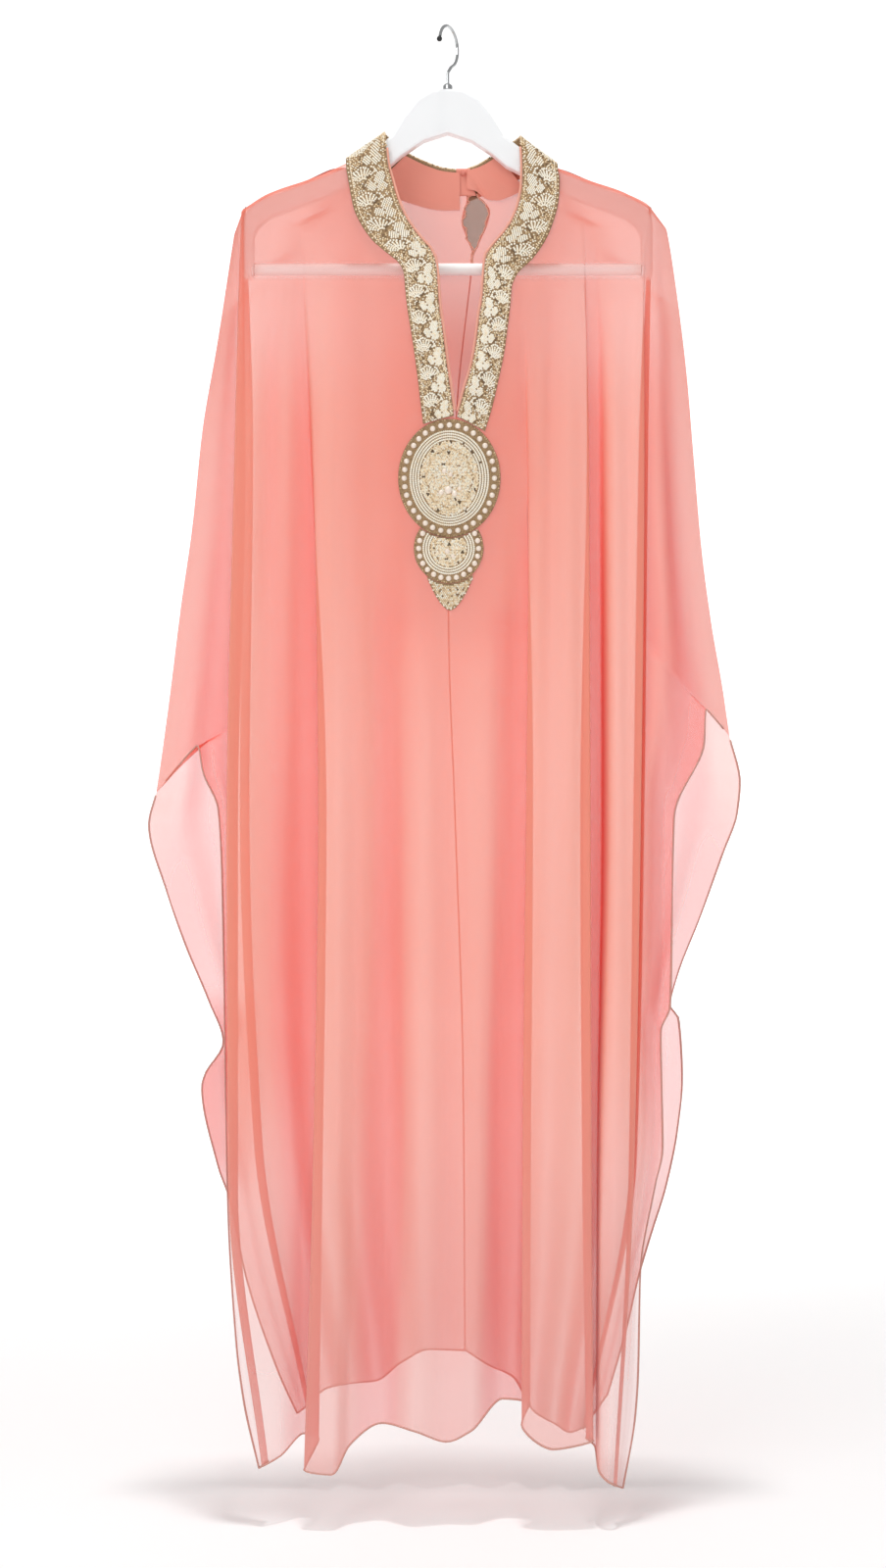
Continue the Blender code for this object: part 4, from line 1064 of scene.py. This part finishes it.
def motif_beads(length):
    """Leaves and fans at every repeat, without what would reach over the band's brown edge."""
    starts = np.arange(0, length + BAND_REPEAT, BAND_REPEAT)[:, None, None]
    ribs, rim = fan_motif()
    groups = []
    for motif, along, across, *looks in (
        (leaf_motif(), 8, 22.4, 1.15, 0.95, 0.1),
        (ribs, 21, 11.6, 1.25, 0.93, 0.08),
        (rim, 21, 11.6, 1.3, 0.97, 0.05),
    ):
        spots = (motif[None] + starts * (1, 0) + (along, across)).reshape(-1, 2)
        groups.append((spots[spots[:, 1] > BROWN_EDGE], *looks))
    return groups


def ground_beads(motif, length):
    """A loose honeycomb of small beads wherever no motif bead is nearer than GROUND_ROOM."""
    ground = honeycomb(PLACKET_WIDTH - 8, 2 * length, GROUND_SPACING)
    ground = ground + (0, PLACKET_WIDTH / 2) + RNG.normal(0, 0.25, ground.shape)
    inside_band = (ground[:, 0] > 0) & (ground[:, 1] > BROWN_EDGE)
    ground = ground[inside_band & (RNG.random(len(ground)) < GROUND_SHARE)]
    order = motif[np.argsort(motif[:, 0])]
    near = np.searchsorted(order[:, 0], ground[:, 0] - 2.4)
    window = order[np.clip(near[:, None] + np.arange(60), 0, len(order) - 1)]
    return ground[np.linalg.norm(window - ground[:, None], axis=-1).min(axis=1) > GROUND_ROOM]


# %% All beads of a band
def band_pattern(length, shoulder):
    """Every bead of one band: its place along and across from the outer edge, its radius and its tone.

    From the shoulder on, two rows more sit on the collar's upper rim, where they show above the facing.
    """
    groups = motif_beads(length)
    groups.append((ground_beads(np.concatenate([g[0] for g in groups]), length), 1.0, 0.68, 0.24))
    edge = np.arange(0, length, 2.3)
    groups.append((row_of(edge, 3.4), 1.0, 0.78, 0.1))
    groups.append((row_of(edge, PLACKET_WIDTH - 2.6), 1.0, 0.6, 0.1))
    groups.append((row_of(np.arange(0, length, 5.6), 1.4), 1.1, 0.7, 0.15))
    upper_rim = np.arange(shoulder, length, 2.2)
    for across in (PLACKET_WIDTH - 0.9, PLACKET_WIDTH + 0.4):
        groups.append((row_of(upper_rim, across), 1.25, 0.6, 0.25))
    places, radius, tone = gather(groups)
    phase = (places[:, 0] / BAND_REPEAT + ZIGZAG_START) % 1
    zigzag = PLACKET_WIDTH * (0.46 + ZIGZAG_SWING * (4 * np.abs(phase - 0.5) - 1))
    dark = np.abs(places[:, 1] - zigzag) < 1.0
    tone = np.where(dark & (RNG.random(len(tone)) < DARK_SHARE), 0.1, tone)
    keep = (places[:, 0] > 0.5) & (places[:, 0] < length - 0.5)
    return places[keep], radius[keep], np.clip(tone[keep], 0, 1)


# %% The two bands with their beads
BAND_WALL = 1.5
band_pieces, band_grids = [], {}
for word, front_table, back_table, side in (
    ("left", LEFT_BAND_FRONT, LEFT_BAND_BACK, -1),
    ("right", RIGHT_BAND_FRONT, RIGHT_BAND_BACK, 1),
):
    grid, at = band_surface(front_table, back_table)
    band_grids[word] = grid
    ground = new_wall(
        f"band_{word}_net", grid, BAND_WALL, side, NET, "beaded_band", replaces=[f"band_{word}"]
    )
    places, radius, tone = band_pattern(at[-1], at[np.argmax(grid[:, -1, 2] > PIPING_TOP)])
    row, col = places[:, 0] / (at[1] - at[0]), places[:, 1] / PLACKET_WIDTH * BAND_COLUMNS
    centre, frames = on_grid(grid, row, col)
    centre = centre + side * frames[:, 2] * (BAND_WALL + 0.25 * radius[:, None])
    sizes = radius[:, None] * np.array([1.0, 1.0, 0.75])
    beads = new_beads(f"band_{word}_beads", centre, frames, sizes, tone, "beaded_band")
    band_pieces += [ground, beads]

# %% [markdown]
# ## Piping and facing
#
# A narrow satin piping finishes the inner edge of each band. Behind the neck a shaped facing of plain crepe
# hangs inside the collar. The right one is crumpled, as a facing is that nobody has pressed.

# %% Piping along the slit and the facing inside the neck
FACING_WALL = 1.0
FACING_INSET = 1.5
WAVE_PITCH, WAVE_TURN = 2.1, 3
PIPING_RADIUS = 1.2
SLANT = np.array([1.0, 0.15, 0])


def facing_surface(back, drop, crumple, columns, count):
    """Hangs from the band's upper edge: down by `drop` times the band's height, with a wave that grows."""
    table = np.array(back, float)
    outer, inner = table[:, [0, 4, 1]], table[:, [2, 5, 3]]
    at = np.linspace(0, len(table) - 1, columns + 1)
    outer, inner = smooth(np.arange(len(table)), outer, at), smooth(np.arange(len(table)), inner, at)
    drops = smooth(np.linspace(0, 1, len(drop)), drop, np.linspace(0, 1, columns + 1))
    share = np.linspace(0.06, 1, count)[:, None]
    points = inner + (outer - inner) * (share * drops)[..., None]
    x, y, z = np.moveaxis(points, -1, 0)
    y = np.minimum(y - TRIM_LIFT, back_depth(x, np.minimum(z, COLLAR_FOOT)))
    wave = crumple * np.sin(at * WAVE_PITCH + share * WAVE_TURN) * share
    return np.stack([x, y - FACING_WALL - FACING_INSET - np.abs(wave), z], axis=-1)


pipings, facings = [], []
for word, side, back_table, drop, crumple in (
    ("left", -1, LEFT_BAND_BACK, (1.38, 1.36, 1.34, 1.3, 1.2), 0.4),
    ("right", 1, RIGHT_BAND_BACK, (1.38, 1.38, 1.2, 0.75, 0.6), 2.2),
):
    grid = band_grids[word]
    inner = grid[:, -1]
    away = inner - grid[:, -2]
    away /= np.linalg.norm(away, axis=1, keepdims=True)
    path = inner + away * (1.3 + SEAM_GAP) + side * normals_of(grid)[:, -1] * 0.9
    path = path[2 : int(np.argmax(path[:, 2] > PIPING_TOP))]
    name, stood_for = f"piping_{word}", [f"binding_{word}"]
    pipings.append(
        new_cord(name, path, PIPING_RADIUS, 8, SLANT, SATIN, "satin_piping", replaces=stood_for)
    )
    facing = placed(facing_surface(back_table[7:], drop, crumple, 48, 24))
    facing = facing + side * normals_of(facing) * FACING_WALL / 2
    name, faces = f"facing_{word}_crepe", grid_faces(*facing.shape[:2])
    facings.append(new_piece(name, facing, faces, CREPE, "crepe_facing", replaces=[f"facing_{word}"]))

# %% [markdown]
# ## The keyhole and the button stand
#
# A sheer dark brown patch lies behind the keyhole and darkens it. The keyhole's edge is a narrow roll like
# the hems, and a little wavy, because it was turned by hand on a tight curve. A short strip of crepe lies
# behind the gap between the collar's ends and carries the button.

# %% Dark patch and rolled edge
KEYHOLE_TOP, KEYHOLE_FOOT = -160.0, -246.0
LEFT_RAGGED, RIGHT_RAGGED = 1.5, 0.7
PATCH_BEHIND, PATCH_WALL = 0.8, 0.4
KEYHOLE_DARK_PATCH, _, _ = new_material("Sheer dark brown patch", "A8785E", 0.85, Alpha=0.62)
edges = [back_grids["left"][:, -1], back_grids["right"][:, 0]]
near = (edges[0][:, 2] < KEYHOLE_TOP) & (edges[0][:, 2] > KEYHOLE_FOOT)
left_side, right_side = (edge[near][:, None] for edge in edges)
patch = left_side + (right_side - left_side) * np.linspace(-0.08, 1.08, 14)[:, None]
# A sheer dark brown patch behind the keyhole, which darkens it.
keyhole_dark_patch = new_wall("keyhole_dark_patch", patch + (0, PATCH_BEHIND, 0), PATCH_WALL, -1, KEYHOLE_DARK_PATCH, "beaded_band")
turned = np.concatenate([left_side[:, 0], right_side[::-1, 0]])
wave = np.arange(len(turned))
ragged = np.where(wave < len(wave) / 2, LEFT_RAGGED, RIGHT_RAGGED)
turned[:, 0] += ragged * (np.sin(wave * 0.9) + 0.6 * np.sin(wave * 2.3 + 1))
keyhole_roll = new_cord("hem_keyhole", turned - (0, 0.4, 0), 0.9, 6, ALONG_Y, SATIN, "chiffon")

# %% The button stand
STAND_TOP, STAND_FOOT = -149, -178
share, stand_z = np.meshgrid(np.linspace(0, 1, 9), np.linspace(STAND_TOP, STAND_FOOT, 14))
stand_x = 9 + (15 + 6 * ramp(-stand_z, 160, 178)) * share
stand_y = 36.4 + 0.2 * (-151 - stand_z)
stand = at_depth(stand_x, stand_y, stand_z)
button_stand = new_wall("button_stand", stand, 0.8, -1, CREPE, "crepe_facing")

# %% [markdown]
# ## The medallion, the roundel and the tip
#
# Three beaded shapes close the slit. Each is a stiff disc of net with a ring of faceted pearls near its rim,
# rows of fine beads inside that, and a field of flowers in the middle. They lie on the front, so each point
# takes its depth from the front's plain surface.

# %% Shapes that lie on the front
MEDALLION = (1.7, -477.4, 54.3, 62.8)
ROUNDEL = (1.0, -552.0, 37.0, 37.0)


def on_front(x, z, lift):
    """Points on the trim: the front's plain surface, the gap under the trim and the lift above it."""
    return at_depth(x, -front_depth(x, z) - TRIM_LIFT - lift, z)


def out_frames(places):
    """Frames whose third direction points out of the front. The cloth there is almost upright."""
    frame = np.array([[0.0, 0.0, 1.0], [1.0, 0.0, 0.0], [0.0, -1.0, 0.0]])
    return np.broadcast_to(frame, (len(places), 3, 3))


def in_medallion(x, z, grow=0.0):
    """Whether points lie inside the medallion's oval, made larger all round by `grow`."""
    cx, cz, half_x, half_z = MEDALLION
    return ((x - cx) / (half_x + grow)) ** 2 + ((z - cz) / (half_z + grow)) ** 2 < 1


def oval_row(oval, inset, spacing):
    """Points at equal steps along an oval that lies `inset` millimetres inside the given one."""
    cx, cz, half_x, half_z = oval
    angle = np.linspace(0, 2 * math.pi, 721)
    x, z = cx + (half_x - inset) * np.sin(angle), cz + (half_z - inset) * np.cos(angle)
    length = np.concatenate([[0], np.cumsum(np.hypot(np.diff(x), np.diff(z)))])
    count = int(round(length[-1] / spacing))
    at = np.arange(count) * length[-1] / count
    return np.stack([np.interp(at, length, x), np.interp(at, length, z)], axis=1)


def medallion_reach(angle):
    """The medallion's radius in each direction."""
    return 1 / np.hypot(np.sin(angle) / MEDALLION[2], np.cos(angle) / MEDALLION[3])




def roundel_reach(angle):
    """The roundel's radius, or the way to the medallion's edge where that is nearer."""
    steps = np.linspace(0, ROUNDEL[2], 600)[:, None]
    x, z = ROUNDEL[0] + np.sin(angle) * steps, ROUNDEL[1] + np.cos(angle) * steps
    hit = in_medallion(x, z, 2 * SEAM_GAP)
    return np.where(hit.any(axis=0), steps[np.argmax(hit, axis=0), 0], ROUNDEL[2])


# %% The two plates
PLATE_SHARES = (0, 0.5, 1, 1, 0.985, 0.95, 0.84, 0.79, 0.5, 0.25, 0)
PLATE_LIFTS = (0, 0, 0, 1.2, 1.7, 1.8, 1.8, 2.6, 3.0, 3.3, 3.4)
PLATE_SIDES = 144


def disc(word, oval, reach):
    """A closed plate: rings of points from its middle at the back, over the rim, to its middle in front."""
    angle = np.arange(PLATE_SIDES) * 2 * math.pi / PLATE_SIDES
    far = reach(angle)
    share, lift = np.array(PLATE_SHARES)[:, None], np.array(PLATE_LIFTS)[:, None]
    x, z = oval[0] + np.sin(angle) * far * share, oval[1] + np.cos(angle) * far * share
    points, faces = on_front(x, z, lift), grid_faces(*x.shape, closed=True)
    return weld(new_piece(f"{word}_net", points, faces, NET, "beaded_medallion", replaces=[word]))


medallion = disc("medallion", MEDALLION, medallion_reach)
roundel = disc("roundel", ROUNDEL, roundel_reach)


# %% The small beads of a plate
def field_beads(oval, inset, petals):
    """A honeycomb of small beads over the oval's middle, lighter along the petals of a flower."""
    cx, cz, half_x, half_z = oval
    half_x, half_z = half_x - inset, half_z - inset
    points = honeycomb(2 * half_x, 2 * half_z, BEAD_SPACING)
    z, x = (points + RNG.normal(0, 0.15, points.shape)).T
    share = np.hypot(x / half_x, z / half_z)
    angle = np.arctan2(x / half_x, z / half_z)
    keep = share < 1
    swell = 0.35 + 0.65 * np.sin(np.clip(share * 1.5, 0, 1) * math.pi) ** 2
    petal = np.abs(np.sin(angle * petals / 2)) * swell
    tone = 0.74 + 0.2 * petal + RNG.normal(0, 0.14, len(x))
    tone = np.where(np.abs((share * 9 + 2 * petal) % 3 - 1.5) < 0.22, tone - 0.3, tone)
    return np.stack([x + cx, z + cz], axis=1)[keep], np.clip(tone, 0, 1)[keep]


def plate_beads(word, oval, row_insets, field_inset, petals, dark, hidden):
    """Rows of fine beads inside the pearls, a brown row at the rim and the field, as one mesh."""
    groups = [(oval_row(oval, inset, 2.0), 1.25, 0.94, 0.05) for inset in row_insets]
    groups.append((oval_row(oval, 1.2, 2.4), 0.95, 0.3, 0.08))
    field, field_tone = field_beads(oval, field_inset, petals)
    places, radius, tone = gather(groups)
    places, tone = np.concatenate([places, field]), np.concatenate([tone, field_tone])
    radius = np.concatenate([radius, np.full(len(field), 1.12)])
    dark = np.asarray(dark, float) * np.array(oval[2:]) + oval[:2]
    tone = np.where(np.linalg.norm(places[:, None] - dark, axis=-1).min(axis=1) < 1.5, 0.05, tone)
    keep = ~hidden(places[:, 0], places[:, 1])
    places, radius, tone = places[keep], radius[keep], np.clip(tone[keep], 0, 1)
    share = np.hypot((places[:, 0] - oval[0]) / oval[2], (places[:, 1] - oval[1]) / oval[3])
    lift = np.interp(share, PLATE_SHARES[:2:-1], PLATE_LIFTS[:2:-1]) + 0.25 * radius
    centre = on_front(places[:, 0], places[:, 1], lift)
    sizes = radius[:, None] * np.array([1, 1, 0.8])
    return new_beads(f"{word}_beads", centre, out_frames(centre), sizes, tone, "beaded_medallion")


# %% The pearls of a plate
PEARL_RINGS, PEARL_SIDES = 7, 12
PEARL_RADIUS, PEARL_LIFT, PEARL_FLAT = 3.0, 2.3, 0.75


def plate_pearls(word, oval, inset, spacing, pearls, field_lift, hidden):
    """A ring of pearls near the rim and a few in the field, as balls flattened towards the cloth."""
    ring = oval_row(oval, inset, spacing)
    ring = ring[~hidden(ring[:, 0], ring[:, 1])]
    extra = np.array([p[:2] for p in pearls], float).reshape(-1, 2) * np.array(oval[2:]) + oval[:2]
    spots = np.concatenate([ring, extra])
    size = np.concatenate([np.full(len(ring), PEARL_RADIUS), [p[2] for p in pearls]])
    depth = np.concatenate([np.full(len(ring), PEARL_LIFT), np.full(len(extra), field_lift)])
    polar = np.linspace(0, math.pi, PEARL_RINGS)[:, None]
    turn = np.arange(PEARL_SIDES) * 2 * math.pi / PEARL_SIDES
    y = -np.broadcast_to(np.cos(polar), (PEARL_RINGS, PEARL_SIDES)) * PEARL_FLAT
    unit = np.stack([np.sin(polar) * np.cos(turn), y, np.sin(polar) * np.sin(turn)], axis=-1).reshape(-1, 3)
    points = on_front(spots[:, 0], spots[:, 1], depth)[:, None] + unit * size[:, None, None]
    first = (np.arange(len(spots)) * len(unit))[:, None, None]
    faces = (grid_faces(PEARL_RINGS, PEARL_SIDES, closed=True)[None] + first).reshape(-1, 4)
    return weld(new_piece(f"{word}_pearls", points, faces, PEARL, "beaded_medallion"))


# %% Beads and pearls on the medallion and the roundel
# Dark beads and larger pearls, as shares of the oval's half width and half height from its middle.
MEDALLION_DARK = (
    (0.05, 0.62), (0.27, 0.58), (-0.18, 0.6), (-0.33, 0.46), (-0.02, 0.44), (-0.55, 0.2), (0.62, 0.26),
    (0.45, 0.44), (-0.12, 0.24), (-0.42, -0.28), (-0.22, -0.55), (0.34, -0.57), (0.2, -0.4), (0.12, -0.36),
    (-0.5, 0.02), (0.5, -0.2),
)
MEDALLION_PEARLS = (
    (-0.1, 0.12, 2.6), (0.02, 0.06, 2.4), (-0.02, -0.2, 4.2), (-0.16, -0.24, 3.0), (0.1, -0.26, 3.2),
    (0.2, -0.18, 2.2),
)
ROUNDEL_DARK = (
    (-0.3, 0.35), (0.3, 0.3), (-0.42, 0.0), (0.4, -0.1), (0.02, 0.12), (-0.05, -0.3), (0.25, -0.4),
)
ROUNDEL_PEARLS = ((-0.04, -0.08, 2.8), (0.12, -0.22, 2.0))


def nowhere(x, z):
    """Hides nothing."""
    return np.zeros(np.shape(x), bool)


def under_medallion(x, z):
    """Hides what the medallion covers."""
    return in_medallion(x, z, 1.6)


beaded = [
    plate_beads("medallion", MEDALLION, (13.0, 15.8, 18.6, 21.4), 23.2, 8, MEDALLION_DARK, nowhere),
    plate_pearls("medallion", MEDALLION, 6.4, 9.0, MEDALLION_PEARLS, 4.4, nowhere),
    plate_beads("roundel", ROUNDEL, (10.2, 13.0, 15.8), 17.6, 6, ROUNDEL_DARK, under_medallion),
    plate_pearls("roundel", ROUNDEL, 5.2, 8.4, ROUNDEL_PEARLS, 4.0, under_medallion),
]

# %% The pointed tip under the roundel
TIP_X, TIP_HALF = 2.5, 24.0
TIP_FOOT, TIP_RISE = -618.0, 34.0
TIP_WALL = 1.6
TIP_EDGE_BEADS = 26


def tip_top(x):
    """The arc just below the roundel."""
    return ROUNDEL[1] - np.sqrt(np.maximum((ROUNDEL[2] + 2 * SEAM_GAP) ** 2 - (x - ROUNDEL[0]) ** 2, 0))


def tip_low(u):
    """The rounded point: a power curve over the share u of the half width."""
    return TIP_FOOT + TIP_RISE * np.abs(u) ** 1.7


def tip_surface(rows, columns):
    """Straight lines from the arc down to the power curve."""
    u = np.sin(np.linspace(-1, 1, columns) * math.pi / 2)
    x = TIP_X + TIP_HALF * u
    top = tip_top(x)
    bottom = np.minimum(tip_low(u), top - 2.0)
    z = top + (bottom - top) * np.linspace(0, 1, rows)[:, None]
    return on_front(np.broadcast_to(x, z.shape), z, 0.0)


tip = new_wall("tip_net", tip_surface(12, 25), TIP_WALL, 1, NET, "beaded_medallion", replaces=["tip"])
spots = honeycomb(60, 60, 2.0) + (-590.0, TIP_X)
u = (spots[:, 1] - TIP_X) / TIP_HALF
between_edges = (spots[:, 0] < tip_top(spots[:, 1]) - 1.5) & (spots[:, 0] > tip_low(u) + 2.2)
spots = spots[(np.abs(u) < 0.93) & between_edges]
tone = np.clip(RNG.normal(0.72, 0.24, len(spots)), 0, 1)
edge_u = np.linspace(-0.97, 0.97, TIP_EDGE_BEADS)
edge = np.stack([tip_low(edge_u) + 1.6, TIP_X + TIP_HALF * edge_u], axis=1)
edge_tone = np.where(np.arange(TIP_EDGE_BEADS) % 2, 0.95, 0.3)
spots, tone = np.concatenate([spots, edge]), np.concatenate([tone, edge_tone])
centre = on_front(spots[:, 1], spots[:, 0], 1.9)
sizes = np.full((len(spots), 3), 1.1)
beaded.append(new_beads("tip_beads", centre, out_frames(centre), sizes, tone, "beaded_medallion"))

# %% [markdown]
# ## The button and the hanger
#
# The hanger is a closed board of lacquered wood with a round bar and a chromed wire hook. Its plain solids
# are already right, so they only take their finish.

# %% Button, board and wire
WHITE, _, _ = new_material("White lacquered wood", "FAFBFC", 0.32, Coat_Weight=0.3)
BAR_WHITE, _, _ = new_material("White enamelled bar", "FEFEFD", 0.55)
CHROME, _, _ = new_material("Chromed steel wire", "C9CBCC", 0.18, 1.0)
BLACK, _, _ = new_material("Black rubber hook cap", "1C1C1C", 0.5)
COVERED, _, _ = new_material("Crepe covered button", "D98374", 0.75)
finishes = {
    "hanger_frame": WHITE, "hanger_bar": BAR_WHITE, "hanger_ferrule": CHROME, "hanger_hook": CHROME,
    "hook_cap": BLACK, "neck_button": COVERED,
}
for node, material in finishes.items():
    thing = frame["nodes"][node]
    thing.data.materials.clear()
    thing.data.materials.append(material)
print("finished:", ", ".join(finishes))

# %% [markdown]
# ## What is cloth
#
# Chiffon can't stretch, so each sheet's area stays that of its flat cut. The code below prints the area
# of each piece of cloth as it hangs.

# %% Sheets
def area_of(piece):
    """The area of a mesh in square metres."""
    mesh = piece.data
    mesh.calc_loop_triangles()
    corners = np.empty(len(mesh.loop_triangles) * 3, np.int32)
    mesh.loop_triangles.foreach_get("vertices", corners)
    points = np.empty(len(mesh.vertices) * 3, np.float32)
    mesh.vertices.foreach_get("co", points)
    a, b, c = points.reshape(-1, 3)[corners.reshape(-1, 3)].transpose(1, 0, 2)
    return float(np.linalg.norm(np.cross(b - a, c - a), axis=1).sum() / 2)


for piece in [front, *backs.values(), *facings]:
    print(f"{piece.name}: {area_of(piece):.4f} square metres")

# %% [markdown]
# ## Camera, light and floor
#
# The picture was taken straight on, from well back, with the camera at the height of the waist. White light
# comes from everywhere, with a little more from above and in front, so the folds shade softly. The pale
# floor and the wall behind are one curved sheet, as in a photographer's studio.

# %% Camera
SENSOR_WIDTH, LENS = 36, 56.25
scene = bpy.context.scene
camera_data = bpy.data.cameras.new("camera")
camera_data.sensor_width = SENSOR_WIDTH
camera_data.lens = LENS
camera = bpy.data.objects.new("camera", camera_data)
camera.location = (EYE_X * MM, -EYE_DISTANCE * MM, EYE_Z * MM)
camera.rotation_euler = (math.radians(90), 0, 0)
scene.collection.objects.link(camera)
scene.camera = camera

# %% World and lamps
WORLD_STRENGTH = 0.42
world = bpy.data.worlds.new("studio")
world.use_nodes = True
background = world.node_tree.nodes["Background"]
background.inputs["Color"].default_value = (1, 1, 1, 1)
background.inputs["Strength"].default_value = WORLD_STRENGTH
scene.world = world
scene.view_settings.view_transform = "Standard"


def soft_lamp(name, place, aim, size, watts):
    """A square area lamp at a place in millimetres that looks at another place."""
    data = bpy.data.lights.new(name, "AREA")
    data.size, data.energy = size * MM, watts
    lamp = bpy.data.objects.new(name, data)
    lamp.location = [v * MM for v in place]
    direction = np.array(aim, float) - np.array(place, float)
    pan, tilt = math.atan2(direction[0], direction[1]), math.atan2(direction[2], np.hypot(*direction[:2]))
    lamp.rotation_euler = (math.pi / 2 + tilt, 0, -pan)
    scene.collection.objects.link(lamp)


# Where each lamp stands, what it looks at, how wide it is and its power in watts.
LAMPS = {
    "key": ((-1300, -2300, 700), (0, 0, -750), 1500, 20),
    "fill": ((250, -2500, -450), (0, 0, -500), 600, 9),
    "top": ((0, -350, 4000), (0, 0, -1560), 400, 110),
}
for name, (place, aim, size, watts) in LAMPS.items():
    soft_lamp(name, place, aim, size, watts)
print("lamps:", ", ".join(LAMPS))

# %% Floor and wall in one sweep
FLOOR_Z = -1568.0
WALL_Y = 6500.0  # far behind the dress
SWEEP_HALF, SWEEP_BEND, SWEEP_TOP = 9000.0, 900, 4500
white, paper_tree, paper_shader = new_material("White paper sweep", "FDFDFD", 0.95, Specular_IOR_Level=0.1)
paper_shader.inputs["Emission Color"].default_value = linear("FFFFFF")
glow = wash(paper_tree, "Y", 0.1, 3.0, 0.03, 0.46)
paper_tree.links.new(glow, paper_shader.inputs["Emission Strength"])
turn = np.linspace(0, math.pi / 2, 16)
sweep_y = np.concatenate([[-SWEEP_HALF], WALL_Y - SWEEP_BEND + SWEEP_BEND * np.sin(turn), [WALL_Y]])
sweep_z = np.concatenate([[FLOOR_Z], FLOOR_Z + SWEEP_BEND * (1 - np.cos(turn)), [SWEEP_TOP]])
across = np.array([-SWEEP_HALF, SWEEP_HALF])
sweep = np.stack(np.broadcast_arrays(across, sweep_y[:, None], sweep_z[:, None]), axis=-1)
mesh = bpy.data.meshes.new("paper_sweep")
mesh.from_pydata((sweep.reshape(-1, 3) * MM).tolist(), [], grid_faces(len(sweep_y), 2)[:, ::-1].tolist())
mesh.materials.append(white)
floor = bpy.data.objects.new("paper_sweep", mesh)
scene.collection.objects.link(floor)
